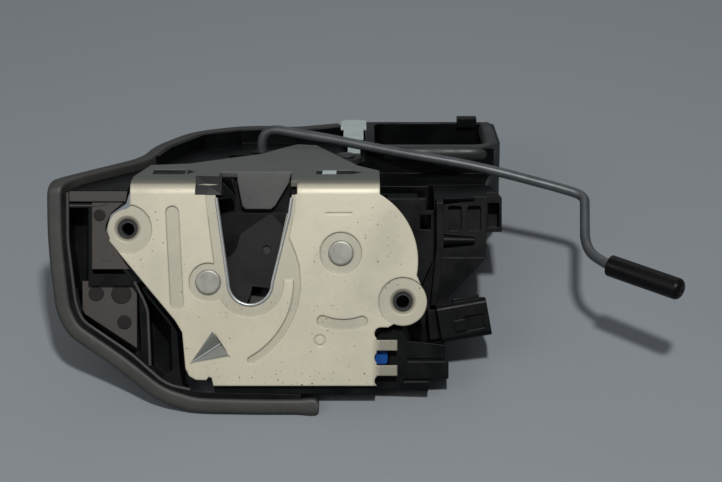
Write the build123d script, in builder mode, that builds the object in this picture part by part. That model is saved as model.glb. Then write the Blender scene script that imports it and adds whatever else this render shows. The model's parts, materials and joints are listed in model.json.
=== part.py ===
from build123d import *
import os
from math import cos, hypot, pi, radians, sin, tan

# Door latch actuator. Millimetres, +Z up from the bench it lies on.
# The steel face plate leans back by bench_angle; the long plastic leg folds away behind it.
# Origin: the striker's axis where it ends its travel in the slot, on the plate's outer face.
# Places on the plate are (x, y): x along the part, y up the slot. Depth d runs in behind the plate.
# Places on the leg are (x, t): t runs along the leg from the bend. Height w stands out of the leg.

# ---- attitude ----
bench_angle = 38.0      # from the bench's level up to the plate's normal
leg_angle = 16.0        # from straight back to the leg's outer face
bend_y = 33.3           # height of the bend's corner over the striker axis
seal_foot_y = -44.0     # lowest edge of the seal, which stands on the bench
belly_gap = 1.0         # clearance of hard pieces over the bench
wide = 200.0            # more than the module's width, for cutting shapes

# ---- face plate ----
plate_t = 2.0
bend_r = 2.6            # inner bend radius
plate_left_x = -40.0
plate_right_x = 43.3
plate_foot_y = -34.3
recess = 0.5            # depth of the stamped recesses
groove_r = 30.9          # outer radius of the curved groove about the claw's rivet
groove_w = 2.4
smile_w = 3.6
arrow_drop = 1.5        # depth of the pressed arrow's valley
arrow_tip = (-20.0, -26.8)
ring_mark_r = 2.0
slot_r = 7.1            # striker slot, round end
slot_flare_left = 3.9   # how far the slot's sides open towards the mouth
slot_flare_right = 6.4
slot_top_y = 28.7
flange_len = 58.2       # from the bend to the flange's tip
comb_len = 10.0         # slots of the comb at the plate's right edge
tab_d = 15.0            # front of the tab folded down behind the mouth

# ---- mounting screws (M6) ----
left_boss = (-41.0, 18.0)
right_boss = (51.0, -6.3)
left_boss_r = 6.6
right_boss_r = 8.0
screw_bore_r = 2.5      # M6 tapping size
screw_pass_r = 3.3
screw_seat_r = 4.4      # countersink at the plate's face
collar_r = 5.2
collar_h = 9.0

# ---- latch box (from the plate backwards) ----
box_floor = 3.0
back_t = 2.0
box_inset = 0.8         # housing stands back from the plate's edge
rim_clear = 0.5         # cavity clearance round the claw and pawl
mouth_window = 19.5     # width of the window behind the slot's mouth
run = 0.05              # running clearance on a shaft
gap = 0.3               # free clearance between parts that move

# ---- claw and pawl ----
claw_pivot = (-14.0, 0.3)
pawl_pivot = (30.3, 10.0)
pin_r = 4.0
pin_neck_r = 3.0
head_r = 4.25
head_h = 1.2
part_d = 3.3            # front face of claw and pawl
jacket_t = 6.0
core_t = 4.4
claw_hub_r = 9.5
claw_rim_r = 31.0
claw_hook_r = 27.0
claw_lobe_r = 14.6
mouth_w = 11.6
mouth_depth_r = 14.0    # distance of the mouth's round end from the pivot
mouth_angle = 74.0      # the mouth's direction when the latch is open
jacket_wall = 1.3
pawl_hub_r = 7.6
pawl_len = 25.0
pawl_angle = -120.0
pawl_w = 8.0
tail_len = 14.5
tail_angle = 100.0
pawl_travel = 14.0      # swing away from the claw, degrees
stud_r = 2.2
spring_wire = 1.2
spring_rise = 1.9       # height of the coil's centre line
spring_gap = 0.3        # clearance of the coil in front and behind
claw_spring_r = 4.9
pawl_spring_r = 5.0
box_d = part_d + jacket_t + spring_rise + spring_wire + 2 * spring_gap + box_floor   # housing's back

# ---- levers behind the back plate ----
lever_t = 2.0
lever_pin = (37.0, 4.0)
lever_pin_r = 2.5
lever_run = 1.3         # levers stand this far behind the back plate
lever_floor = 2.4       # clearance behind the levers

# ---- actuator leg ----
leg_start_t = 33.0
leg_t = 24.0            # leg thickness, rims to the cover's seat
deck_drop = 5.0         # deck lies this far under the rims
deck_t = 2.4
cover_t = 2.4
wall = 2.4
well_drop = 14.0        # depth of the well inside the ring at the leg's right end
ring_corner_r = 6.0
hook_rise = 2.4         # snap hook over the ring's far rim

# ---- drive ----
motor_r = 7.4
motor_len = 20.0
motor_x = -9.0          # the can's brush end
motor_t = 72.5
motor_w = -15.7
shaft_r = 1.0
worm_r = 2.7
worm_len = 17.0
wheel_x = 21.0
wheel_r = 11.0
wheel_t = 5.6
wheel_teeth = 22
mesh_gap = 0.3
axle_r = 2.0
pinion_teeth = 10
gear_module = 1.0

# ---- lock lever on the leg's deck ----
lock_pivot = (31.6, 50.5)
lock_pin_r = 2.0
lock_lever_t = 1.9
lock_lever_r = 5.6

# ---- rod ----
rod_r = 1.75
rod_travel = 9.0
rod_eye = (0.7, 60.0)   # rod end in the slider, on the leg
sleeve_r = 3.65
sleeve_len = 27.0

# ---- planes ----
tilt = radians(bench_angle)
lean = radians(leg_angle)
FACE = Plane(origin=(0, 0, 0), x_dir=(1, 0, 0), z_dir=(0, -cos(tilt), sin(tilt)))
SIDE = Plane(origin=(0, 0, 0), x_dir=-FACE.z_dir, z_dir=(1, 0, 0))
LEG = Plane(
    origin=FACE.from_local_coords((0, bend_y, 0)),
    x_dir=(1, 0, 0),
    z_dir=FACE.y_dir * cos(lean) + FACE.z_dir * sin(lean),
)
BENCH = Plane(origin=FACE.from_local_coords((0, seal_foot_y, 0)), z_dir=(0, 0, 1))


def polar(centre, radius, angle):
    """Point at a radius and an angle in degrees about a centre."""
    return (centre[0] + radius * cos(radians(angle)), centre[1] + radius * sin(radians(angle)))


def at_depth(x, y, d):
    """World place of a point (x, y) at depth d behind the plate's outer face."""
    return FACE.from_local_coords((x, y, -d))


def leg_side(t, w):
    """(d, y) of a point of the leg in the side view."""
    return (t * cos(lean) - w * sin(lean), bend_y + t * sin(lean) + w * cos(lean))


def label(part, name):
    """Names a finished piece and writes its STEP file."""
    part.label = name
    export_step(part, f"parts/{name}.step")


os.makedirs("parts", exist_ok=True)

# ---- shared outlines ----
with BuildSketch() as plate_outline:
    with BuildLine():
        Polyline(
            (plate_left_x, 70), (plate_left_x, 25.5), (left_boss[0] - 5.2, 22.0), (-47.0, 14.0),
            (-25.0, -12.5), (-22.6, -16.5), (-21.5, -28.5), (-20.3, -31.0), (-18.0, -32.3), (-14.6, -32.4),
            (-13.8, -31.3), (-12.8, -31.6), (-12.2, plate_foot_y), (42.2, plate_foot_y),
            (42.2, -18), (46.5, -14.5), (55.0, -10.0), (57.5, -2.0), (55.6, 2.6),
        )
        ThreePointArc((55.6, 2.6), (53.0, 19.5), (43.3, 29.6))
        Polyline((43.3, 29.6), (plate_right_x, 70), (plate_left_x, 70))
    make_face()
    with Locations(left_boss):
        Circle(left_boss_r)
    with Locations(right_boss):
        Circle(right_boss_r)

with BuildSketch() as slot_outline:
    with BuildLine():
        Polyline(
            (slot_r, 0), (slot_r + slot_flare_right, slot_top_y), (slot_r + slot_flare_right, 60),
            (-slot_r - slot_flare_left, 60), (-slot_r - slot_flare_left, slot_top_y), (-slot_r, 0),
        )
        ThreePointArc((-slot_r, 0), (0, -slot_r), (slot_r, 0))
    make_face()

# end section of the pressed arrow, a half cone that runs out at its tip
arrow_way = FACE.from_local_coords((9.9, 6.4, 0)).normalized()
with BuildSketch(Plane(origin=at_depth(-9.6, -20.1, 0), x_dir=FACE.z_dir, z_dir=arrow_way)) as arrow_end:
    Polygon((0.4, -5.2), (-arrow_drop, 0), (0.4, 5.2), align=None)

# ---- face plate: bent sheet with the striker slot, stamped recesses and beads ----
leg_rise = tan(lean)
inner_corner_y = bend_y - plate_t / cos(lean) + plate_t * leg_rise
with BuildPart() as face_plate:
    with BuildSketch(SIDE.offset(-70)):
        with BuildLine():
            Polyline(
                (0, plate_foot_y - 5), (0, bend_y), leg_side(flange_len + 4, 0),
                leg_side(flange_len + 4, -plate_t), (plate_t, inner_corner_y), (plate_t, plate_foot_y - 5),
                (0, plate_foot_y - 5),
            )
        make_face()
        corners = vertices().sort_by_distance((0, bend_y))
        fillet(corners[0], radius=bend_r + plate_t)
        fillet(vertices().sort_by_distance((plate_t, inner_corner_y))[0], radius=bend_r)
    extrude(amount=140)
    with BuildSketch(FACE.offset(-60)):
        add(plate_outline.sketch)
    extrude(amount=80, mode=Mode.INTERSECT)
    with BuildSketch(LEG.offset(-90)):
        Polygon(
            (-60, -60), (80, -60), (80, 2), (plate_right_x, 2), (plate_right_x, 17.5), (36, 25),
            (20.8, flange_len - 1.6), (14, flange_len), (10.5, flange_len - 3.6), (1, 42.5),
            (-23, 28), (-36, 25.8), (plate_left_x, 9), (-60, -15), align=None,
        )
    extrude(amount=120, mode=Mode.INTERSECT)
    # striker slot, its mouth through the bend and the two relief notches
    with BuildSketch(FACE.offset(-8)):
        add(slot_outline.sketch)
    extrude(amount=20, mode=Mode.SUBTRACT)
    with BuildSketch(LEG.offset(-10)):
        with Locations((1.3, 6.5)):
            Rectangle(2 * slot_r + slot_flare_left + slot_flare_right, 19)
        with Locations((-14.3, -1.5)):
            Rectangle(8, 5)
        with Locations((14.0, -0.5)):
            Rectangle(3.4, 7)
    extrude(amount=20, mode=Mode.SUBTRACT)
    # tab folded down from the flange behind the mouth
    with BuildSketch(FACE.offset(-tab_d - plate_t)):
        Polygon((-5.4, 37.0), (13.0, 37.0), (12.4, 34), (7.6, 26), (6.2, 24.9), (-2.4, 24.9), (-3.6, 26),
                (-5.2, 34), align=None)
    extrude(amount=plate_t)
    # stamped arrow slots in the flange
    with BuildSketch(LEG.offset(-10)):
        with Locations((-28.5, 16)):
            Rectangle(11, 7)
        with Locations((-22.3, 16)):
            Polygon((0, 3.5), (2.8, 0), (0, -3.5), align=None)
        with Locations((27.8, 15.5)):
            Rectangle(12, 6)
        with Locations((33.8, 15.5)):
            Polygon((0, 3), (4.6, 0), (0, -3), align=None)
    extrude(amount=20, mode=Mode.SUBTRACT)
    # comb at the right edge
    with BuildSketch(FACE.offset(-8)):
        with Locations((46.5, -16.9), (46.5, -25.0)):
            SlotOverall(comb_len, 4.2)
        with Locations((46.5, -32.7)):
            SlotOverall(comb_len, 3.6)
    extrude(amount=20, mode=Mode.SUBTRACT)
    with BuildSketch(FACE.offset(-plate_t)):
        for finger_y in (-20.8, -29.2):
            with Locations((45.2, finger_y)):
                Rectangle(7.8, 3.5)
    extrude(amount=plate_t)
    # recesses: collar round the slot, rivet rings, screw bosses, straight groove, smile groove
    with BuildSketch(FACE.offset(-recess)):
        with BuildLine():
            Polyline((11.2, 0), (13.0, 14.7), (15.2, 27), (15.8, 33), (-15.5, 33), (-11.3, 0))
            ThreePointArc((-11.3, 0), (0, -11.3), (11.2, 0))
        make_face()
        with Locations(claw_pivot):
            Circle(6.4)
        with BuildLine():
            Polyline((11.2, 1.0), (13.0, 15.2), (15.2, 10.0), (16.5, 5.4), polar(claw_pivot, groove_r, -2))
            ThreePointArc(
                polar(claw_pivot, groove_r, -2), polar(claw_pivot, groove_r, -30),
                polar(claw_pivot, groove_r, -61)
            )
            ThreePointArc(
                polar(claw_pivot, groove_r, -61), polar(claw_pivot, groove_r - groove_w / 2, -63.5),
                polar(claw_pivot, groove_r - groove_w, -61)
            )
            ThreePointArc(
                polar(claw_pivot, groove_r - groove_w, -61), polar(claw_pivot, groove_r - groove_w, -30),
                polar(claw_pivot, groove_r - groove_w, 1.4)
            )
            Line(polar(claw_pivot, groove_r - groove_w, 1.4), (11.2, 1.0))
        make_face()
    extrude(amount=2, mode=Mode.SUBTRACT)
    with BuildSketch(FACE.offset(-recess)):
        with Locations(pawl_pivot):
            Circle(7.0)
        with Locations(left_boss):
            Circle(8.2)
        with Locations(right_boss):
            Circle(8.2)
        with Locations(Location((-25.2, 8.5), -87)):
            SlotOverall(34.5, 4.4)
    extrude(amount=2, mode=Mode.SUBTRACT)
    with BuildSketch(FACE.offset(-recess)):
        with BuildLine():
            ThreePointArc((24.1, -12.6), (30.7, -13.9), (37.4, -12.8))
        trace(line_width=smile_w)
        with Locations((24.1, -12.6), (37.4, -12.8)):
            Circle(smile_w / 2)
    extrude(amount=2, mode=Mode.SUBTRACT)
    # pressed arrow near the lower left corner: a half cone that runs out at its tip
    loft(sections=[Vertex(*at_depth(*arrow_tip, 0)), arrow_end.sketch.faces()[0]], mode=Mode.SUBTRACT)
    # small stamped ring and a scribed line
    with BuildSketch(FACE.offset(-0.2)):
        with Locations((23.3, -19.2)):
            Circle(ring_mark_r)
            Circle(ring_mark_r - 0.6, mode=Mode.SUBTRACT)
        with Locations((29.7, 23.2)):
            Rectangle(8.8, 0.6)
    extrude(amount=1, mode=Mode.SUBTRACT)
    # screw bores
    with BuildSketch(FACE.offset(-plate_t)):
        with Locations(left_boss, right_boss):
            Circle(screw_pass_r)
    extrude(amount=2 * plate_t, mode=Mode.SUBTRACT)
    for boss in (left_boss, right_boss):
        with BuildSketch(FACE.offset(-recess)):
            with Locations(boss):
                Circle(screw_seat_r)
        extrude(amount=-(screw_seat_r - screw_pass_r), taper=45, mode=Mode.SUBTRACT)
    with BuildSketch(FACE.offset(-plate_t)):
        with Locations(claw_pivot, pawl_pivot):
            Circle(pin_neck_r)
    extrude(amount=2 * plate_t, mode=Mode.SUBTRACT)
label(face_plate.part, "face_plate")

# ---- threaded collars behind the screw holes ----
with BuildPart() as screw_collars:
    with BuildSketch(FACE.offset(-plate_t - collar_h)):
        with Locations(left_boss, right_boss):
            Circle(collar_r)
            Circle(screw_bore_r, mode=Mode.SUBTRACT)
    extrude(amount=collar_h)
label(screw_collars.part, "screw_collars")

# ---- claw: outline of the whole claw with the latch open ----
with BuildSketch() as claw_outline:
    with Locations(claw_pivot):
        Circle(claw_hub_r)
    with BuildLine():       # kick arm, which the striker pushes down
        Polyline(polar(claw_pivot, claw_rim_r, -6), claw_pivot, (-4.0, 16.0),
                 polar(claw_pivot, claw_rim_r, 48))
        ThreePointArc(polar(claw_pivot, claw_rim_r, 48), polar(claw_pivot, claw_rim_r, 20),
                      polar(claw_pivot, claw_rim_r, -6))
    make_face()
    with BuildLine():       # hook arm, which closes over the striker
        Polyline(polar(claw_pivot, claw_hook_r, 72), claw_pivot, polar(claw_pivot, claw_hook_r, 114))
        ThreePointArc(polar(claw_pivot, claw_hook_r, 114), polar(claw_pivot, claw_hook_r, 93),
                      polar(claw_pivot, claw_hook_r, 72))
    make_face()
    with BuildLine():       # lobe under the kick arm
        Polyline(polar(claw_pivot, claw_lobe_r, -4), claw_pivot, polar(claw_pivot, claw_lobe_r, -40))
        ThreePointArc(polar(claw_pivot, claw_lobe_r, -40), polar(claw_pivot, claw_lobe_r, -22),
                      polar(claw_pivot, claw_lobe_r, -4))
    make_face()
    with Locations(Location(polar(claw_pivot, mouth_depth_r + 10, mouth_angle), mouth_angle)):
        Rectangle(20, mouth_w, mode=Mode.SUBTRACT)
    with Locations(polar(claw_pivot, mouth_depth_r, mouth_angle)):
        Circle(mouth_w / 2, mode=Mode.SUBTRACT)
    rim_corners = vertices().filter_by(lambda v: hypot(v.X - claw_pivot[0], v.Y - claw_pivot[1]) > 25)
    fillet(rim_corners, radius=2.0)

claw_back_d = part_d + jacket_t
core_d = part_d + (jacket_t - core_t) / 2
stud_end_d = box_d + back_t + lever_run + lever_t
with BuildPart() as claw_core:
    with BuildSketch(FACE.offset(-core_d - core_t)):
        add(claw_outline.sketch)
        offset(amount=-jacket_wall, kind=Kind.INTERSECTION, mode=Mode.REPLACE)
        with Locations(claw_pivot):
            Circle(pin_r + run, mode=Mode.SUBTRACT)
    extrude(amount=core_t)
label(claw_core.part, "claw_core")

with BuildPart() as claw_jacket:
    with BuildSketch(FACE.offset(-claw_back_d)):
        add(claw_outline.sketch)
        with Locations(claw_pivot):
            Circle(pin_r + 2.2, mode=Mode.SUBTRACT)
    extrude(amount=jacket_t)
    with Locations(FACE.offset(-part_d).location * Location(polar(claw_pivot, 22.2, 29))):
        Hole(radius=1.4, depth=(jacket_t - core_t) / 2)
    add(claw_core.part, mode=Mode.SUBTRACT)
label(claw_jacket.part, "claw_jacket")

# ---- pawl: strut arm against the claw's rim, tail with a stud for the release lever ----
with BuildSketch() as pawl_outline:
    with Locations(pawl_pivot):
        Circle(pawl_hub_r)
    with Locations(Location(polar(pawl_pivot, pawl_len / 2, pawl_angle), pawl_angle)):
        Rectangle(pawl_len, pawl_w)
    with Locations(Location(polar(pawl_pivot, tail_len / 2, tail_angle), tail_angle)):
        Rectangle(tail_len, 6.4)
    with Locations(polar(pawl_pivot, tail_len, tail_angle)):
        Circle(3.2)
    with Locations(claw_pivot):
        Circle(claw_rim_r + rim_clear, mode=Mode.SUBTRACT)
    fillet(vertices().sort_by_distance(polar(pawl_pivot, pawl_len + 2, pawl_angle + 9))[0], radius=1.5)

with BuildSketch() as pawl_room:
    add(pawl_outline.sketch)
    offset(amount=rim_clear + 0.3, kind=Kind.INTERSECTION, mode=Mode.REPLACE)

with BuildPart() as pawl_core:
    with BuildSketch(FACE.offset(-core_d - core_t)):
        add(pawl_outline.sketch)
        offset(amount=-jacket_wall, kind=Kind.INTERSECTION, mode=Mode.REPLACE)
        with Locations(pawl_pivot):
            Circle(pin_r + run, mode=Mode.SUBTRACT)
    extrude(amount=core_t)
    with BuildSketch(FACE.offset(-stud_end_d)):
        with Locations(polar(pawl_pivot, tail_len, tail_angle)):
            Circle(stud_r - 0.4)
    extrude(amount=stud_end_d - core_d - core_t / 2)
label(pawl_core.part, "pawl_core")

with BuildPart() as pawl_jacket:
    with BuildSketch(FACE.offset(-claw_back_d)):
        add(pawl_outline.sketch)
        with Locations(pawl_pivot):
            Circle(pin_r + 1.6, mode=Mode.SUBTRACT)
    extrude(amount=jacket_t)
    add(pawl_core.part, mode=Mode.SUBTRACT)
label(pawl_jacket.part, "pawl_jacket")

# ---- rivets that carry the claw and the pawl ----
for name, pivot in (("claw_rivet", claw_pivot), ("pawl_rivet", pawl_pivot)):
    with BuildPart() as rivet:
        with BuildSketch(SIDE.offset(pivot[0])):
            with BuildLine():
                Polyline(
                    (-head_h * 0.4, pivot[1]), (-head_h * 0.4, pivot[1] + head_r),
                    (recess, pivot[1] + head_r), (recess, pivot[1] + pin_neck_r), (plate_t, pivot[1] + pin_neck_r),
                    (plate_t, pivot[1] + pin_r), (box_d, pivot[1] + pin_r),
                    (box_d, pivot[1] + pin_neck_r), (box_d + back_t, pivot[1] + pin_neck_r),
                    (box_d + back_t, pivot[1] + pin_neck_r + 1.2),
                    (box_d + back_t + 1.0, pivot[1] + pin_neck_r + 1.2), (box_d + back_t + 1.0, pivot[1]),
                    (-head_h * 0.4, pivot[1]),
                )
            make_face()
            fillet(vertices().sort_by_distance((-head_h * 0.4, pivot[1] + head_r))[0], radius=0.7)
        revolve(axis=Axis(at_depth(*pivot, 0), FACE.z_dir))
    label(rivet.part, name)

# ---- torsion springs on the rivets ----
spring_d = claw_back_d + spring_gap + spring_wire / 2
for name, pivot, radius in (
    ("claw_spring", claw_pivot, claw_spring_r), ("pawl_spring", pawl_pivot, pawl_spring_r)
):
    with BuildPart() as spring:
        with BuildLine() as coil:
            Helix(pitch=spring_wire * 1.25, height=spring_rise, radius=radius,
                  center=at_depth(*pivot, spring_d), direction=-FACE.z_dir)
        with BuildSketch(Plane(origin=coil.line @ 0, z_dir=coil.line % 0)):
            RegularPolygon(spring_wire / 2, 8)
        sweep(path=coil.line)
    label(spring.part, name)

# ---- latch housing: plastic box with the cavities for claw, pawl and striker ----
with BuildSketch() as cavity:
    for centre, radius, first, last in (
        (claw_pivot, claw_rim_r + 2 * rim_clear, -88, 53),
        (claw_pivot, claw_hook_r + rim_clear, 40, 120),
        (claw_pivot, claw_lobe_r + rim_clear, -120, 0),
    ):
        middle = (first + last) / 2
        with BuildLine():
            Polyline(polar(centre, radius, first), centre, polar(centre, radius, last))
            ThreePointArc(polar(centre, radius, last), polar(centre, radius, middle),
                          polar(centre, radius, first))
        make_face()
    with Locations(claw_pivot):
        Circle(claw_hub_r + rim_clear)
    for turn in (0, pawl_travel / 2, pawl_travel + 1):      # the pawl's sweep
        add(Pos(*pawl_pivot) * Rot(0, 0, turn) * Pos(-pawl_pivot[0], -pawl_pivot[1]) * pawl_room.sketch)
    add(slot_outline.sketch)

with BuildPart() as latch_housing:
    with BuildSketch(FACE.offset(-box_d)):
        add(plate_outline.sketch)
        offset(amount=-box_inset, kind=Kind.INTERSECTION, mode=Mode.REPLACE)
        with Locations((0, 79.4)):
            Rectangle(wide, wide / 2, mode=Mode.SUBTRACT)
        with Locations((15.0, plate_foot_y - 0.6)):     # lip under the plate's foot
            Rectangle(54, 4.4)
    extrude(amount=box_d - plate_t)
    with BuildSketch(FACE.offset(-14)):                 # stepped blocks beside the comb
        Polygon((41, -35.6), (59.6, -36.4), (60, -32.6), (66.4, -32.2), (66.4, -26.8), (65.2, -26.2),
                (65.2, -20.9), (52.6, -19.6), (50.8, -15), (43.5, -16), (41, -20), align=None)
    extrude(amount=10)
    with BuildSketch(FACE.offset(-4.8)):
        with Locations((59.5, -26.0)):
            Rectangle(14, 1.2)
        with Locations((56.0, -32.8)):
            Rectangle(9, 1.0)
    extrude(amount=5, mode=Mode.SUBTRACT)
    with BuildSketch(FACE.offset(-9.0)):                # pocket for the blue catch behind the comb
        with Locations((43.2, -25.0)):
            Rectangle(6.0, 5.0)
    extrude(amount=9, mode=Mode.SUBTRACT)
    with BuildSketch(SIDE.offset(-37)):                 # top block under the flange
        Polygon((5.2, 26), (5.2, 32.5), (box_d, 35.6), (box_d, 26), align=None)
    extrude(amount=78)
    with BuildSketch(FACE.offset(-box_d + box_floor)):
        add(cavity.sketch)
    extrude(amount=20, mode=Mode.SUBTRACT)
    with BuildSketch(FACE.offset(-box_d)):
        with Locations((3.5, 40)):                      # window for the mouth tab
            Rectangle(mouth_window, 33, mode=Mode.ADD)
    extrude(amount=box_floor + 3, mode=Mode.SUBTRACT)
    with BuildSketch(FACE.offset(-box_d)):
        with Locations(left_boss):
            Circle(left_boss_r + 0.4)
        with Locations(right_boss):
            Circle(collar_r)
    extrude(amount=box_d, mode=Mode.SUBTRACT)
    with BuildSketch(FACE.offset(-box_d)):
        with Locations(claw_pivot, pawl_pivot):
            Circle(pin_r)
        with BuildLine():
            CenterArc(pawl_pivot, tail_len, tail_angle - 12, pawl_travel + 24)
        trace(line_width=2 * stud_r + 2)
    extrude(amount=box_d, mode=Mode.SUBTRACT)
    split(bisect_by=BENCH.offset(belly_gap), keep=Keep.TOP)
label(latch_housing.part, "latch_housing")

# ---- rubber buffer at the slot's end, behind the claw ----
with BuildPart() as striker_buffer:
    with BuildSketch(FACE.offset(-box_d + box_floor)):
        with BuildLine():
            CenterArc((0, 0), slot_r - 1.4, 185, 170)
        trace(line_width=2.6)
    extrude(amount=box_d - box_floor - claw_back_d - gap)
label(striker_buffer.part, "striker_buffer")

# ---- steel back plate ----
with BuildPart() as back_plate:
    with BuildSketch(FACE.offset(-box_d - back_t)):
        add(plate_outline.sketch)
        offset(amount=-2.4, kind=Kind.INTERSECTION, mode=Mode.REPLACE)
        with Locations((0, 78)):
            Rectangle(wide, wide / 2, mode=Mode.SUBTRACT)
        with Locations((3.5, 40)):
            Rectangle(mouth_window, 33, mode=Mode.SUBTRACT)
        with Locations(left_boss, right_boss):
            Circle(9.0, mode=Mode.SUBTRACT)
        with Locations(claw_pivot, pawl_pivot):
            Circle(pin_neck_r, mode=Mode.SUBTRACT)
        with Locations(lever_pin):
            Circle(lever_pin_r - 0.7, mode=Mode.SUBTRACT)
        with BuildLine():
            CenterArc(pawl_pivot, tail_len, tail_angle - 12, pawl_travel + 24)
        trace(line_width=2 * stud_r + 2, mode=Mode.SUBTRACT)
    extrude(amount=back_t)
    split(bisect_by=BENCH.offset(belly_gap), keep=Keep.TOP)
label(back_plate.part, "back_plate")

# ---- levers behind the back plate, on one pin ----
lever_front_d = box_d + back_t + lever_run
inner_front_d = lever_front_d + lever_t + 0.4
stud_place = polar(pawl_pivot, tail_len, tail_angle)
with BuildPart() as lever_pin_part:
    with BuildSketch(FACE.offset(-inner_front_d - lever_t - gap)):
        with Locations(lever_pin):
            Circle(lever_pin_r)
    extrude(amount=inner_front_d + lever_t + gap - box_d - back_t)
    with BuildSketch(FACE.offset(-box_d - back_t)):
        with Locations(lever_pin):
            Circle(lever_pin_r - 0.7)
    extrude(amount=back_t)
    with BuildSketch(FACE.offset(-inner_front_d - lever_t - gap - 1.2)):
        with Locations(lever_pin):
            Circle(lever_pin_r + 1.5)
    extrude(amount=1.2)
label(lever_pin_part.part, "lever_pin")

with BuildPart() as release_lever:
    with BuildSketch(FACE.offset(-lever_front_d - lever_t)):
        with Locations(lever_pin):
            Circle(5.2)
        push_side = stud_place[0] + stud_r - 0.4 + gap
        Polygon((lever_pin[0] - 5, lever_pin[1] + 1), (lever_pin[0] + 5, lever_pin[1] + 1),
                (push_side + 5.5, stud_place[1] + 2.5), (push_side, stud_place[1] + 2.5),
                (push_side, stud_place[1] - 3.5), align=None)
        Polygon((lever_pin[0] - 4.5, lever_pin[1] - 2), (lever_pin[0] + 4.5, lever_pin[1] - 1),
                (lever_pin[0] + 4.0, lever_pin[1] - 16), (lever_pin[0] - 2.0, lever_pin[1] - 16), align=None)
        with Locations(lever_pin):
            Circle(lever_pin_r + run, mode=Mode.SUBTRACT)
        with Locations((lever_pin[0] + 1, lever_pin[1] - 12.5)):
            Circle(1.6, mode=Mode.SUBTRACT)
    extrude(amount=lever_t)
label(release_lever.part, "release_lever")

with BuildPart() as inner_lever:
    with BuildSketch(FACE.offset(-inner_front_d - lever_t)):
        with Locations(lever_pin):
            Circle(5.0)
        Polygon((lever_pin[0] - 1, lever_pin[1] - 4.6), (lever_pin[0] - 1, lever_pin[1] + 4.6),
                (lever_pin[0] - 20, lever_pin[1] + 3.5), (lever_pin[0] - 20, lever_pin[1] - 2.5), align=None)
        with Locations(lever_pin):
            Circle(lever_pin_r + run, mode=Mode.SUBTRACT)
        with Locations((lever_pin[0] - 17, lever_pin[1] + 0.4)):
            Circle(1.6, mode=Mode.SUBTRACT)
    extrude(amount=lever_t)
label(inner_lever.part, "inner_lever")

# ---- actuator housing: plastic body behind the latch, with the leg that carries the drive ----
leg_end_t = 97.0
lever_floor_d = inner_front_d + lever_t + lever_floor
body_back_d = lever_floor_d + wall
body_front_d = box_d + back_t
leg_points = [
    (-35, 17), (-37.5, 38), (-34, 54), (-23.5, 76), (-9, 84), (0, 85.5), (12, 82.5), (29, 90),
    (36, leg_end_t), (88, leg_end_t), (88, 60), (83, 47), (81, 36), (62, 34), (44, 17),
]
with BuildSketch() as leg_outline:
    Polygon(*leg_points, align=None)
    fillet(vertices().sort_by(Axis.X)[-2:], radius=ring_corner_r)
    with Locations((0, leg_start_t - 50)):
        Rectangle(wide, wide / 2, mode=Mode.SUBTRACT)
with BuildSketch() as leg_inside:
    add(leg_outline.sketch)
    offset(amount=-wall, kind=Kind.INTERSECTION, mode=Mode.REPLACE)
with BuildSketch() as well_outline:
    with Locations((62.5, 75.5)):
        RectangleRounded(41, 37, ring_corner_r - 2)

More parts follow.
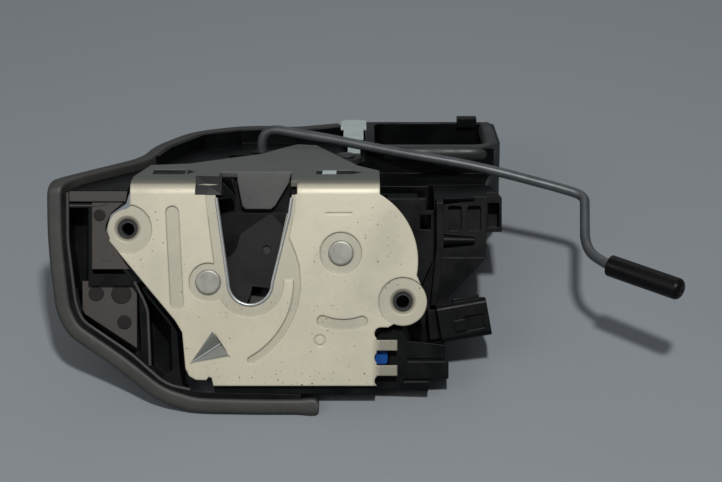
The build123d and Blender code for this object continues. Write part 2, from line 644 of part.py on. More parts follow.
with BuildPart() as actuator_housing:
    with BuildSketch(FACE.offset(-body_back_d)):                # body behind the back plate
        Polygon((-30, 28), (-30, 10), (-21, -8), (-17.5, -30), (44, -30), (52, -14), (62, 8),
                (62, 30.5), (-30, 30.5), align=None)
    extrude(amount=body_back_d - body_front_d)
    with BuildSketch(SIDE.offset(-34)):                         # web that joins the body to the leg
        Polygon((body_front_d, 20), (body_front_d, bend_y + body_front_d * leg_rise - 2.3),
                leg_side(leg_start_t + 3, -2.4), leg_side(leg_start_t + 3, -leg_t),
                leg_side(leg_start_t, -leg_t), (body_back_d, 8), (body_back_d, 20), align=None)
    extrude(amount=44 + 34)
    with BuildSketch(LEG.offset(-leg_t)):                       # leg
        add(leg_outline.sketch)
    extrude(amount=leg_t)
    with BuildSketch(LEG.offset(-deck_drop)):                   # deck between the rims
        add(leg_inside.sketch)
        with Locations((68.5, 40)):
            Rectangle(60, 200, mode=Mode.SUBTRACT)
        with Locations((0, 35)):
            Rectangle(84, 10)
    extrude(amount=deck_drop * 2, mode=Mode.SUBTRACT)
    with BuildSketch(LEG.offset(-well_drop)):                   # well inside the ring
        add(well_outline.sketch)
    extrude(amount=well_drop * 2, mode=Mode.SUBTRACT)
    with BuildSketch(LEG.offset(-1)):                           # snap hook on the ring's far rim
        with Locations((77.6, leg_end_t - 2.7)):
            Rectangle(7.4, 5.4)
    extrude(amount=1 + hook_rise)
    with BuildSketch(LEG.offset(-9.5)):                         # step in front of the ring, under the rod
        with Locations((64, 32.5)):
            Rectangle(56, 40)
    extrude(amount=30, mode=Mode.SUBTRACT)
    with BuildSketch(LEG.offset(-leg_t)):                       # drive room, left
        add(leg_inside.sketch)
        with Locations((90, 60)):
            Rectangle(110, 200, mode=Mode.SUBTRACT)
    extrude(amount=leg_t - deck_drop - deck_t, mode=Mode.SUBTRACT)
    with BuildSketch(LEG.offset(-leg_t)):                       # drive room, right
        add(leg_inside.sketch)
        with Locations((-20, 60)):
            Rectangle(110, 200, mode=Mode.SUBTRACT)
    extrude(amount=leg_t - well_drop - deck_t, mode=Mode.SUBTRACT)
    with BuildSketch(LEG.offset(-leg_t)):                       # slot for the rod's hooked end
        with Locations((rod_eye[0] - rod_travel / 2, rod_eye[1])):
            SlotOverall(rod_travel + 2 * rod_r + 3.0, 2 * rod_r + 2.4)
    extrude(amount=leg_t, mode=Mode.SUBTRACT)
    with BuildSketch(FACE.offset(-lever_floor_d)):              # lever room, open to the back plate
        Polygon((13, -13), (46, -13), (48, 2), (46, 30), (18, 30), (13, 12), align=None)
        with Locations(claw_pivot):
            Circle(5.2)
    extrude(amount=lever_floor_d, mode=Mode.SUBTRACT)
    with BuildSketch(FACE.offset(-body_back_d)):                # openings beside the plate
        Polygon((56.5, 31), (62.5, 31), (62.5, 24.5), (59.5, 24.5), (59.5, 29), (56.5, 29), align=None)
        with Locations((59.2, 20.5)):
            Rectangle(3.6, 5)
    extrude(amount=body_back_d, mode=Mode.SUBTRACT)
    split(bisect_by=BENCH.offset(belly_gap), keep=Keep.TOP)
label(actuator_housing.part, "actuator_housing")

with BuildPart() as actuator_cover:
    with BuildSketch(LEG.offset(-leg_t - cover_t)):
        add(leg_outline.sketch)
        offset(amount=-0.6, kind=Kind.INTERSECTION, mode=Mode.REPLACE)
    extrude(amount=cover_t)
    with BuildSketch(LEG.offset(-leg_t - cover_t)):             # stiffening recesses on the inner side
        for rib_t in (46, 62, 78):
            with Locations((10, rib_t)):
                RectangleRounded(44, 9, 2)
    extrude(amount=0.8, mode=Mode.SUBTRACT)
label(actuator_cover.part, "actuator_cover")

# ---- drive: motor, worm, worm wheel with pinion, slider with rack ----
thread_pitch = pi * gear_module
wheel_place = (wheel_x, motor_t - wheel_r - worm_r - mesh_gap)
motor_axis_plane = Plane(
    origin=LEG.from_local_coords((0, motor_t, motor_w)), x_dir=LEG.y_dir, z_dir=(1, 0, 0)
)
with BuildPart() as motor_can:
    with BuildSketch(motor_axis_plane.offset(motor_x)):
        Circle(motor_r)
        with Locations((0, motor_r), (0, -motor_r)):
            Rectangle(30, 1.6, mode=Mode.SUBTRACT)
    extrude(amount=motor_len)
    with BuildSketch(motor_axis_plane.offset(motor_x + motor_len)):
        Circle(2.6)
    extrude(amount=0.8)
    with BuildSketch(motor_axis_plane.offset(motor_x + motor_len - 6)):
        Circle(shaft_r + run)
    extrude(amount=7, mode=Mode.SUBTRACT)
    fillet(faces().sort_by(Axis.X)[0].edges(), radius=0.6)
label(motor_can.part, "motor_can")

with BuildPart() as motor_cap:
    with BuildSketch(motor_axis_plane.offset(motor_x - 2.0)):
        Circle(motor_r - 0.6)
        with Locations((0, motor_r), (0, -motor_r)):
            Rectangle(30, 3.0, mode=Mode.SUBTRACT)
    extrude(amount=2.0)
label(motor_cap.part, "motor_cap")

with BuildPart() as motor_worm:
    with BuildSketch(motor_axis_plane.offset(motor_x + motor_len - 5)):
        Circle(shaft_r)
    extrude(amount=6.5 + worm_len + 2)
    worm_start = motor_x + motor_len + 1.5
    for thread in range(5):
        with BuildSketch(motor_axis_plane.offset(worm_start + thread * thread_pitch)):
            Circle(worm_r)
        extrude(amount=thread_pitch / 2, taper=12)
    with BuildSketch(motor_axis_plane.offset(worm_start)):
        Circle(worm_r - 0.9)
    extrude(amount=worm_len)
label(motor_worm.part, "motor_worm")

with BuildPart() as worm_wheel:
    with BuildSketch(LEG.offset(motor_w - wheel_t / 2)):
        with Locations(wheel_place):
            Circle(wheel_r - 1.1)
            with PolarLocations(wheel_r - 0.9, wheel_teeth):
                Trapezoid(1.9, 1.8, 75, rotation=-90)
    extrude(amount=wheel_t)
    with BuildSketch(LEG.offset(motor_w - wheel_t / 2)):        # lightening recess in the underside
        with Locations(wheel_place):
            Circle(wheel_r - 2.8)
            Circle(axle_r + 1.6, mode=Mode.SUBTRACT)
    extrude(amount=wheel_t / 2, mode=Mode.SUBTRACT)
    with BuildSketch(LEG.offset(motor_w + wheel_t / 2)):        # pinion
        with Locations(wheel_place):
            Circle(gear_module * (pinion_teeth / 2 - 1.15))
            with PolarLocations(gear_module * (pinion_teeth / 2 - 0.15), pinion_teeth, start_angle=18):
                Trapezoid(1.55, 1.9, 76, rotation=-90)
    extrude(amount=4.0)
    with BuildSketch(LEG.offset(motor_w - wheel_t)):
        with Locations(wheel_place):
            Circle(axle_r + run)
    extrude(amount=wheel_t * 3, mode=Mode.SUBTRACT)
label(worm_wheel.part, "worm_wheel")

with BuildPart() as wheel_axle:
    with BuildSketch(LEG.offset(-leg_t)):
        with Locations(wheel_place):
            Circle(axle_r)
    extrude(amount=leg_t - deck_drop - deck_t)
label(wheel_axle.part, "wheel_axle")

slider_w = -deck_drop - deck_t - 0.4
slider_t = 3.0
rack_t = wheel_place[1] + gear_module * pinion_teeth / 2
with BuildPart() as lock_slider:
    with BuildSketch(LEG.offset(slider_w - slider_t)):
        with Locations((-1, rod_eye[1] + 0.5)):
            RectangleRounded(17, 8, 1.5)
        with Locations((16, rack_t + gear_module + 0.9)):
            Rectangle(30, 2.0)
        with Locations((3, rod_eye[1] + 3.5)):
            Rectangle(5, 4)
        for tooth in range(-3, 3):
            with Locations((wheel_x + (tooth + 0.5) * thread_pitch, rack_t + 0.1)):
                Trapezoid(1.55, 1.9, 76, rotation=180)
        with Locations(rod_eye):
            Circle(rod_r + 0.3, mode=Mode.SUBTRACT)
    extrude(amount=slider_t)
label(lock_slider.part, "lock_slider")

# ---- lock rod: hooked into the slider, bent over the ring and down to the sleeve ----
def on_leg(x, t, w):
    """World place of a point (x, t) at height w over the leg's outer face."""
    return LEG.from_local_coords((x, t, w))


rod_points = [
    on_leg(rod_eye[0], rod_eye[1], slider_w - slider_t), on_leg(rod_eye[0], rod_eye[1], 6.0),
    on_leg(26, 53.8, 3.0), at_depth(51.0, 45.7, 46), at_depth(72.4, 41.9, 43), at_depth(86.6, 38.6, 41),
    at_depth(107.7, 32.8, 38), at_depth(115.9, 30.0, 36), at_depth(113.6, 14.3, 15),
    at_depth(115.4, 8.6, 6), at_depth(119.6, 6.0, 1), at_depth(124.4, 4.2, -2.1),
]
with BuildPart() as lock_rod:
    with BuildLine() as rod_line:
        FilletPolyline(*rod_points, radius=3.4)
    with BuildSketch(Plane(origin=rod_line.line @ 0, z_dir=rod_line.line % 0)):
        Circle(rod_r)
    sweep(path=rod_line.line)
label(lock_rod.part, "lock_rod")

with BuildPart() as rod_sleeve:
    sleeve_start = at_depth(119.9, 5.9, 0.6)
    sleeve_way = (at_depth(140.4, -1.7, -12) - at_depth(119.6, 6.0, 1)).normalized()
    with BuildSketch(Plane(origin=sleeve_start, z_dir=sleeve_way)):
        Circle(sleeve_r)
    extrude(amount=sleeve_len)
    fillet(edges().filter_by(GeomType.CIRCLE).sort_by(Axis(sleeve_start, sleeve_way))[-1], radius=2.2)
    fillet(edges().filter_by(GeomType.CIRCLE).sort_by(Axis(sleeve_start, sleeve_way))[0], radius=0.5)
    with BuildSketch(Plane(origin=sleeve_start + sleeve_way * sleeve_len, z_dir=-sleeve_way)):
        Circle(0.7)
    extrude(amount=3, mode=Mode.SUBTRACT)
    add(lock_rod.part, mode=Mode.SUBTRACT)
label(rod_sleeve.part, "rod_sleeve")

with BuildPart() as rod_clip:
    with BuildSketch(LEG.offset(slider_w + 0.1)):
        with Locations(rod_eye):
            Circle(rod_r + 0.35)
            Circle(rod_r, mode=Mode.SUBTRACT)
    extrude(amount=3.2)
    with BuildSketch(LEG.offset(slider_w + 3.3)):
        with Locations(rod_eye):
            Circle(rod_r + 1.6)
            Circle(rod_r, mode=Mode.SUBTRACT)
    extrude(amount=1.4)
label(rod_clip.part, "rod_clip")

# ---- lock lever on the deck, beside the rod ----
with BuildPart() as lock_lever_pin:
    with BuildSketch(LEG.offset(-deck_drop)):
        with Locations(lock_pivot):
            Circle(lock_pin_r)
    extrude(amount=2 * gap + lock_lever_t)
    with BuildSketch(LEG.offset(-deck_drop + 2 * gap + lock_lever_t)):
        with Locations(lock_pivot):
            Circle(lock_pin_r + 1.2)
    extrude(amount=0.6)
label(lock_lever_pin.part, "lock_lever_pin")

with BuildPart() as lock_lever:
    with BuildSketch(LEG.offset(-deck_drop + gap)):
        with Locations(lock_pivot):
            Circle(lock_lever_r)
        with Locations((lock_pivot[0] - 0.5, lock_pivot[1] - lock_lever_r)):
            RectangleRounded(5.4, 2 * lock_lever_r + 0.8, 1.5)
        with Locations(lock_pivot):
            Circle(lock_pin_r + run, mode=Mode.SUBTRACT)
    extrude(amount=lock_lever_t)
label(lock_lever.part, "lock_lever")

# ---- bright spring clip over the leg's far rim, with its cap ----
with BuildPart() as rim_clip:
    with BuildSketch(LEG.offset(0.05)):
        with Locations((34.2, 80.0)):
            Rectangle(7.4, 30)
        with Locations((34.2, 88.0)):
            Rectangle(9.6, 12)
    extrude(amount=1.2)
    with BuildSketch(LEG.offset(-deck_drop)):
        with Locations((34.4, 65.4)):
            Rectangle(4.6, 1.2)
    extrude(amount=deck_drop + 1.25)
label(rim_clip.part, "rim_clip")

# ---- side tray: shallow tray left of the plate, inside the seal ----
tray_edge = [
    (-62.6, 30.5), (-62.6, 14), (-59.8, -7), (-57.0, -13.5), (-41.2, -24.5), (-28.5, -34.6), (-18.5, -37.6),
    (-14, -38.2), (3, -38.6), (17, -38.6), (17, -37.8), (-19.5, -37.0), (-22.6, -34.0),
    (-23.6, -28), (-24.4, -16.5), (-27, -12.5), (-47.4, 11.8), (-50.2, 17), (-48.6, 23), (-43.2, 26.8), (-42.2, 30.5),
]
tray_back_d = 15.0
mark_drop = 0.4
tray_marks = ((-53.4, -3.8, 2.6, 9.5), (-44.6, -4.2, 3.0, 9.5), (-44.2, -13.6, 2.2, 9.5))
with BuildPart() as side_tray:
    with BuildSketch(FACE.offset(-tray_back_d)):
        Polygon(*tray_edge, align=None)
    extrude(amount=tray_back_d - 1.0)
    with BuildSketch(FACE.offset(-tray_back_d + 2.0)):           # pockets between the walls and ribs
        Polygon((-60.6, 25), (-60.6, 14), (-58.2, -2), (-54, -2), (-54, 25), align=None)
        Polygon((-52.6, 25), (-52.6, 3), (-41.5, 3), (-49.2, 12.3), (-52, 17), (-50.6, 23.6), (-49, 25),
                align=None)
        Polygon((-37.4, 1), (-35, -4), (-26.5, -14.5), (-26.0, -29), (-29.5, -31.6), (-33.5, -28.2),
                (-34.5, -8), (-38, -2), align=None)
    extrude(amount=tray_back_d, mode=Mode.SUBTRACT)
    with BuildSketch(FACE.offset(-9.5)):                         # raised floors
        Polygon((-57.8, -1), (-39.4, -1), (-37.2, -4), (-36.4, -22.5), (-38, -24.6), (-41.2, -22.6),
                (-55.6, -12.6), align=None)
    extrude(amount=tray_back_d, mode=Mode.SUBTRACT)
    for mark_x, mark_y, mark_r, floor_d in tray_marks:            # round mould marks on the floors
        with BuildSketch(FACE.offset(-floor_d - mark_drop)):
            with Locations((mark_x, mark_y)):
                Circle(mark_r)
        extrude(amount=tray_back_d, mode=Mode.SUBTRACT)
    with BuildSketch(FACE.offset(-6.0)):
        Polygon((-61, 30.6), (-61, 26.6), (-48, 26.6), (-44.5, 28.6), (-44, 30.6), align=None)
    extrude(amount=tray_back_d, mode=Mode.SUBTRACT)
    with BuildSketch(LEG.offset(-5.0)):                          # gusset up to the leg's deck
        Polygon((-60.5, 0.5), (-57.5, 8.5), (-39.2, 30.5), (-36.4, 30.5), (-35.6, 18), (-41, 9), (-41, 0.5),
                align=None)
    extrude(amount=2.4)
    with BuildSketch(SIDE.offset(-60.5)):
        Polygon((1.0, 28), (1.0, 30.5), (9, 30.5), (9, 28), align=None)
    extrude(amount=18)
    split(bisect_by=BENCH.offset(belly_gap), keep=Keep.TOP)
label(side_tray.part, "side_tray")

# ---- seal: rubber rim round the tray and along the leg's edge ----
seal_w = 5.0
seal_d = 9.0            # depth of the seal's foot
seal_round = 1.2        # height of its rounded crown
seal_bend_r = 6.0
seal_line = [
    (-65.4, 33.0), (-65.3, 14), (-62.6, -8.5), (-59.3, -15.6), (-42.6, -27.0), (-30.0, -37.2), (-19.2, -40.5),
    (-14, -40.9), (3, -41.3), (19.5, -41.4),
]
seal_leg_line = [(-65.4, -0.5), (-61.5, 8), (-38.6, 36), (-35.9, 55), (-25.2, 77.8), (-9.6, 86.6), (0, 88),
                 (11.6, 85.2), (28.4, 92.6)]
with BuildPart() as rim_seal:
    with BuildSketch(FACE.offset(-seal_d)):
        with BuildLine():
            FilletPolyline(*seal_line, radius=seal_bend_r)
        trace(line_width=seal_w)
        with Locations((20.0, -41.2)):
            SlotOverall(seal_w + 2.0, seal_w + 0.8)
    extrude(amount=seal_d - seal_round)
    crown = faces().sort_by(Axis((0, 0, 0), tuple(FACE.z_dir)))[-1]
    extrude(crown, amount=seal_round, taper=35)
    with BuildSketch(LEG.offset(-6.0)):
        with BuildLine():
            Polyline(*seal_leg_line)
        trace(line_width=seal_w)
    extrude(amount=6.4)
    split(bisect_by=BENCH, keep=Keep.TOP)
    add(side_tray.part, mode=Mode.SUBTRACT)
    add(actuator_housing.part, mode=Mode.SUBTRACT)
label(rim_seal.part, "rim_seal")

# ---- blue catch seen through the comb ----
with BuildPart() as blue_catch:
    with BuildSketch(FACE.offset(-9.0)):
        with Locations((43.2, -25.0)):
            RectangleRounded(5.4, 4.4, 1.0)
    extrude(amount=9.0 - plate_t - 0.6)
label(blue_catch.part, "blue_catch")

# ---- side housing: ribbed plastic right of the plate ----
side_front_d = 14.0
side_panel_d = 20.5
side_shelf_d = 22.0
side_back_d = 38.0
with BuildPart() as side_housing:
    with BuildSketch(FACE.offset(-side_back_d)):
        Polygon((62.3, 8.2), (80.2, 8.2), (80.8, 34.0), (62.3, 34.0), align=None)
    extrude(amount=side_back_d - side_shelf_d)
    with BuildSketch(FACE.offset(-30)):                          # lower panel with its slanted edge
        Polygon((62.3, 8.2), (80.2, 8.2), (67.2, -5.4), (67.2, -20.5), (54.5, -21.0), (52.6, -14.5),
                align=None)
    extrude(amount=30 - side_panel_d)
    with BuildSketch(FACE.offset(-side_shelf_d - 0.2)):           # upright rib
        Polygon((62.8, 36.5), (65.2, 36.5), (65.2, 12), (63.0, -8.0), (60.8, -8.0), (62.8, 12), align=None)
    extrude(amount=side_shelf_d + 0.2 - side_front_d)
    for rib_y in (29.4, 14.2):                                   # two tapered cable ribs
        with BuildSketch(SIDE.offset(65.2)):
            with Locations((side_shelf_d - 0.2, rib_y)):
                Circle(2.4)
        extrude(amount=11, taper=5)
    with BuildSketch(FACE.offset(-side_back_d)):                 # socket box with its slanted shoulder
        Polygon((78, 17.2), (86.2, 17.2), (86.2, 29.0), (82.6, 33.8), (78, 33.8), align=None)
    extrude(amount=side_back_d - 28)
    with BuildSketch(FACE.offset(-36)):
        with Locations((83.4, 23.0)):
            Rectangle(3.8, 8.4)
    extrude(amount=20, mode=Mode.SUBTRACT)
    with BuildSketch(FACE.offset(-24.5)):                        # window rows between the ribs
        with Locations((72.5, 21.8)):
            GridLocations(6.4, 0, 2, 1)
        with Locations((69.5, 21.8), (76.2, 21.8)):
            RectangleRounded(4.6, 8.6, 0.8)
    extrude(amount=5, mode=Mode.SUBTRACT)
    split(bisect_by=LEG.offset(-9.9), keep=Keep.BOTTOM)
    split(bisect_by=BENCH.offset(belly_gap), keep=Keep.TOP)
    add(actuator_housing.part, mode=Mode.SUBTRACT)
    add(actuator_cover.part, mode=Mode.SUBTRACT)
label(side_housing.part, "side_housing")

# ---- connector socket with its terminals, open to the right ----
socket_place = (63.4, -14.3)
socket_turn = 10.0
socket_len = 17.0
socket_h = 12.6
socket_w = 14.0
socket_mid_d = 13.4
socket_wall = 1.5
socket_floor = 5.0      # solid root behind the contacts' room
pin_pitch = 3.2
socket_way = FACE.from_local_coords((cos(radians(socket_turn)), sin(radians(socket_turn)), 0))
socket_frame = Plane(origin=at_depth(*socket_place, socket_mid_d), x_dir=FACE.z_dir, z_dir=socket_way)
with BuildPart() as connector_socket:
    with BuildSketch(socket_frame):
        RectangleRounded(socket_w, socket_h, 1.6)
    extrude(amount=socket_len)
    with BuildSketch(FACE.offset(-26)):                             # neck that joins it to the side housing
        Polygon((59.5, -9.5), (66.5, -8.9), (67.5, -18.4), (60.5, -19.6), align=None)
    extrude(amount=26 - 11)
    with BuildSketch(socket_frame.offset(socket_floor)):
        RectangleRounded(socket_w - 2 * socket_wall, socket_h - 2 * socket_wall, 0.8)
    extrude(amount=socket_len, mode=Mode.SUBTRACT)
    with BuildSketch(socket_frame.offset(6.0)):                     # rail on the upper side
        with Locations((1.6, -socket_h / 2)):
            Rectangle(6.0, 2.6)
    extrude(amount=9)
    with BuildSketch(socket_frame.offset(8.5)):                     # latch window in the front wall
        with Locations((socket_w / 2, 1.2)):
            Rectangle(1.6, 5.0)
    extrude(amount=6.5, mode=Mode.SUBTRACT)
    with BuildSketch(socket_frame.offset(5.0)):                     # latch tab
        with Locations((socket_w / 2, 1.4)):
            Rectangle(1.4, 3.6)
    extrude(amount=4)
    with BuildSketch(socket_frame):
        with GridLocations(pin_pitch, pin_pitch, 3, 3):
            Rectangle(0.8, 0.8)
    extrude(amount=socket_len, mode=Mode.SUBTRACT)
    add(side_housing.part, mode=Mode.SUBTRACT)
    add(actuator_housing.part, mode=Mode.SUBTRACT)
    add(latch_housing.part, mode=Mode.SUBTRACT)
label(connector_socket.part, "connector_socket")

with BuildPart() as terminals:
    with BuildSketch(socket_frame.offset(2.0)):
        with GridLocations(pin_pitch, pin_pitch, 3, 3):
            Rectangle(0.8, 0.8)
    extrude(amount=8.5)
label(terminals.part, "connector_terminals")

# ---- circuit carrier, position switches and their plungers in the lever room ----
with BuildPart() as circuit_carrier:
    with BuildSketch(LEG.offset(-leg_t)):
        Polygon((-28, 42), (-24, 60), (8, 60), (8, 42), align=None)
        with Locations((-6, 51)):
            Rectangle(10, 6, mode=Mode.SUBTRACT)
    extrude(amount=1.6)
label(circuit_carrier.part, "circuit_carrier")

switch_places = ((-18, 46), (-2, 46))
with BuildPart() as position_switches:
    with BuildSketch(LEG.offset(-leg_t + 1.6)):
        with Locations(*switch_places):
            Rectangle(9, 5)
    extrude(amount=6)
label(position_switches.part, "position_switches")

# ---- screws that hold the cover ----
screw_places = ((-30.5, 42), (32, 42), (-5, 79.6), (60, 95.2), (80.2, 52))
with BuildPart() as cover_screws:
    with BuildSketch(LEG.offset(-leg_t - cover_t - 0.9)):
        with Locations(*screw_places):
            Circle(2.6)
    extrude(amount=0.9)
label(cover_screws.part, "cover_screws")
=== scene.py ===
"""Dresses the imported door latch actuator: finishes, rubber, stampings, tray, wire, camera, floor and light.

Places are written in millimetres in one of two sets. On the plate they are (x, y, depth): x to the right,
y up the plate and depth behind its face. On the leg they are (x, t, w): x to the right, t along the leg, away
from the bend, and w over its outer face. on_plate and on_leg bring both to the shared frame, in metres.
"""

import json
import bmesh
import bpy
import numpy as np
from mathutils import Matrix, Vector

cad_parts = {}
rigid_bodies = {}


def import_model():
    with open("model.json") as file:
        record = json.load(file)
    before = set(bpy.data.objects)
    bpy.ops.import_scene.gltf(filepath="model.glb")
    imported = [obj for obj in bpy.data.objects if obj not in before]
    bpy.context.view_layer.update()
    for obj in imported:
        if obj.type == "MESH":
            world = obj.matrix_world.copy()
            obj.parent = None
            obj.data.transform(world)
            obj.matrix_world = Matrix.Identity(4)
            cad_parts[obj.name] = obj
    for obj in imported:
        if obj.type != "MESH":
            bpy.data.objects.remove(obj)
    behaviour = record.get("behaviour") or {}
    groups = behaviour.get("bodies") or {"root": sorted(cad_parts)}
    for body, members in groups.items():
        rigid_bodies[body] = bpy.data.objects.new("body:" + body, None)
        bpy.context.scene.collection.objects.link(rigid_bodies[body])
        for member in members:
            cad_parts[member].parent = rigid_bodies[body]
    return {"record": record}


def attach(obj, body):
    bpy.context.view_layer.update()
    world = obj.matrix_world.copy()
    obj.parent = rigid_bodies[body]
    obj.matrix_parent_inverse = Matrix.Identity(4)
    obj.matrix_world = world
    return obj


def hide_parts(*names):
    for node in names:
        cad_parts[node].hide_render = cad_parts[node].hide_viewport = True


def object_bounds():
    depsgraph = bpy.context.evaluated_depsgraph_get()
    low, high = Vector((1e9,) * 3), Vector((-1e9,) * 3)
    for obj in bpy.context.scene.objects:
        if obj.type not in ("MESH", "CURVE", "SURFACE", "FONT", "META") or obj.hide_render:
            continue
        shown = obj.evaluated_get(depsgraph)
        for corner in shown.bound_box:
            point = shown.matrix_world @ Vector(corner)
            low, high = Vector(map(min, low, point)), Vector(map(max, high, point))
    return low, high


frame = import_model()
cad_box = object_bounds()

MM = 0.001
BEAD_REACH = 3.0 * MM     # setback of a bead's corners
DISC_SIDES = 32

# ---- attitude, as the plate and the leg stand ----
BENCH_ANGLE = np.radians(38.0)
LEG_ANGLE = np.radians(16.0)
BEND_Y = 33.3
X_WAY = np.array((1.0, 0.0, 0.0))
PLATE_NORMAL = np.array((0.0, -np.cos(BENCH_ANGLE), np.sin(BENCH_ANGLE)))
PLATE_UP = np.array((0.0, np.sin(BENCH_ANGLE), np.cos(BENCH_ANGLE)))
LEG_NORMAL = PLATE_UP * np.cos(LEG_ANGLE) + PLATE_NORMAL * np.sin(LEG_ANGLE)
LEG_ALONG = PLATE_UP * np.sin(LEG_ANGLE) - PLATE_NORMAL * np.cos(LEG_ANGLE)


def on_plate(x, y, d):
    """Places in metres of points (x, y) at depth d behind the plate's face, all in millimetres."""
    x, y, d = (np.asarray(v, float)[..., None] for v in (x, y, d))
    return (x * X_WAY + y * PLATE_UP - d * PLATE_NORMAL) * MM


def on_leg(x, t, w):
    """Places in metres of points (x, t) at height w over the leg's outer face, in millimetres."""
    x, t, w = (np.asarray(v, float)[..., None] for v in (x, t, w))
    return (x * X_WAY + BEND_Y * PLATE_UP + t * LEG_ALONG + w * LEG_NORMAL) * MM


# ---- camera: looks straight at the plate, from the distance that gives the right perspective ----
CAMERA_FROM = 580.0
CAMERA_X, CAMERA_Y = 37.0, 14.0
VIEW_WIDTH = 240.7
SENSOR = 36.0
camera_data = bpy.data.cameras.new("camera")
camera_data.sensor_width = SENSOR
camera_data.lens = SENSOR * CAMERA_FROM / VIEW_WIDTH
camera = bpy.data.objects.new("camera", camera_data)
bpy.context.scene.collection.objects.link(camera)
place = on_plate(CAMERA_X, CAMERA_Y, -CAMERA_FROM)
turn = Matrix([X_WAY, PLATE_UP, PLATE_NORMAL]).transposed()
camera.matrix_world = Matrix.Translation(Vector(place)) @ turn.to_4x4()
bpy.context.scene.camera = camera


# ---- node helpers ----
def srgb(r, g, b):
    """Linear colour of an 8-bit screen colour."""
    c = np.array((r, g, b)) / 255.0
    lin = np.where(c <= 0.04045, c / 12.92, ((c + 0.055) / 1.055) ** 2.4)
    return (float(lin[0]), float(lin[1]), float(lin[2]), 1.0)


class Finish:
    """A material under way: adds nodes and links them in the order in which they are asked for."""

    def __init__(self, name, color, metallic=0.0, roughness=0.5, specular=0.5):
        self.material = bpy.data.materials.new(name)
        self.material.use_nodes = True
        self.tree = self.material.node_tree
        self.shader = self.tree.nodes["Principled BSDF"]
        self.shader.inputs["Base Color"].default_value = color
        self.shader.inputs["Metallic"].default_value = metallic
        self.shader.inputs["Roughness"].default_value = roughness
        self.shader.inputs["Specular IOR Level"].default_value = specular
        self.color = None
        self.height = None
        self.coords = self.tree.nodes.new("ShaderNodeTexCoord").outputs["Object"]

    def soft_edges(self, radius):
        """Rounds the edges in the shading, by a radius in metres."""
        node = self.tree.nodes.new("ShaderNodeBevel")
        node.samples = 6
        node.inputs["Radius"].default_value = radius
        self.height = node.outputs["Normal"]

    def link(self, a, b):
        self.tree.links.new(a, b)

    def noise(self, scale, detail=3.0, rough=0.55):
        """Cloudy noise, with scale features to the metre."""
        node = self.tree.nodes.new("ShaderNodeTexNoise")
        node.inputs["Scale"].default_value = scale
        node.inputs["Detail"].default_value = detail
        node.inputs["Roughness"].default_value = rough
        self.link(self.coords, node.inputs["Vector"])
        return node.outputs["Fac"]

    def step(self, fac, start, end, low=0.0, high=1.0):
        """Maps fac from start..end to low..high, clamped."""
        node = self.tree.nodes.new("ShaderNodeMapRange")
        node.inputs["From Min"].default_value = start
        node.inputs["From Max"].default_value = end
        node.inputs["To Min"].default_value = low
        node.inputs["To Max"].default_value = high
        self.link(fac, node.inputs["Value"])
        return node.outputs["Result"]

    def specks(self, scale, size, seed_shift=(0.0, 0.0, 0.0)):
        """Round specks: 1 inside a small distance of scattered points."""
        shift = self.tree.nodes.new("ShaderNodeVectorMath")
        shift.operation = "ADD"
        shift.inputs[1].default_value = seed_shift
        self.link(self.coords, shift.inputs[0])
        node = self.tree.nodes.new("ShaderNodeTexVoronoi")
        node.inputs["Scale"].default_value = scale
        self.link(shift.outputs["Vector"], node.inputs["Vector"])
        return self.step(node.outputs["Distance"], size, size * 0.55, 0.0, 1.0)

    def mix(self, fac, other):
        """Lays another colour over the present one, by fac."""
        node = self.tree.nodes.new("ShaderNodeMix")
        node.data_type = "RGBA"
        if isinstance(fac, float):
            node.inputs["Factor"].default_value = fac
        else:
            self.link(fac, node.inputs["Factor"])
        if self.color is None:
            node.inputs["A"].default_value = self.shader.inputs["Base Color"].default_value
        else:
            self.link(self.color, node.inputs["A"])
        if isinstance(other, tuple):
            node.inputs["B"].default_value = other
        else:
            self.link(other, node.inputs["B"])
        self.color = node.outputs["Result"]

    def multiply(self, a, b):
        node = self.tree.nodes.new("ShaderNodeMath")
        node.operation = "MULTIPLY"
        for slot, value in enumerate((a, b)):
            if isinstance(value, float):
                node.inputs[slot].default_value = value
            else:
                self.link(value, node.inputs[slot])
        return node.outputs["Value"]

    def along(self, way, offset=0.0):
        """Distance in metres along a direction."""
        node = self.tree.nodes.new("ShaderNodeVectorMath")
        node.operation = "DOT_PRODUCT"
        node.inputs[1].default_value = tuple(float(v) for v in way)
        self.link(self.coords, node.inputs[0])
        add = self.tree.nodes.new("ShaderNodeMath")
        add.operation = "ADD"
        add.inputs[1].default_value = offset
        self.link(node.outputs["Value"], add.inputs[0])
        return add.outputs["Value"]

    def bump(self, fac, distance, strength=1.0):
        node = self.tree.nodes.new("ShaderNodeBump")
        node.inputs["Strength"].default_value = strength
        node.inputs["Distance"].default_value = distance
        self.link(fac, node.inputs["Height"])
        if self.height is not None:
            self.link(self.height, node.inputs["Normal"])
        self.height = node.outputs["Normal"]

    def pressed_arrow(self):
        """1 inside the pressed arrow's triangle: the product of three half planes over the plate."""
        inside = None
        corners = np.array([(-20.2, -27.0), (-12.6, -15.9), (-6.7, -24.5)])
        for a, b in zip(corners, np.roll(corners, -1, axis=0)):
            nx, ny = (b - a)[1], -(b - a)[0]
            size = float(np.hypot(nx, ny))
            way = (nx * X_WAY + ny * PLATE_UP) / size
            reach = self.along(way, -float(nx * a[0] + ny * a[1]) / size * MM)
            side = self.step(reach, 0.0, 0.00025)
            inside = side if inside is None else self.multiply(inside, side)
        return inside

    def roughen(self, fac, low, high):
        self.link(self.step(fac, 0.35, 0.65, low, high), self.shader.inputs["Roughness"])

    def done(self):
        if self.color is not None:
            self.link(self.color, self.shader.inputs["Base Color"])
        if self.height is not None:
            self.link(self.height, self.shader.inputs["Normal"])
        return self.material


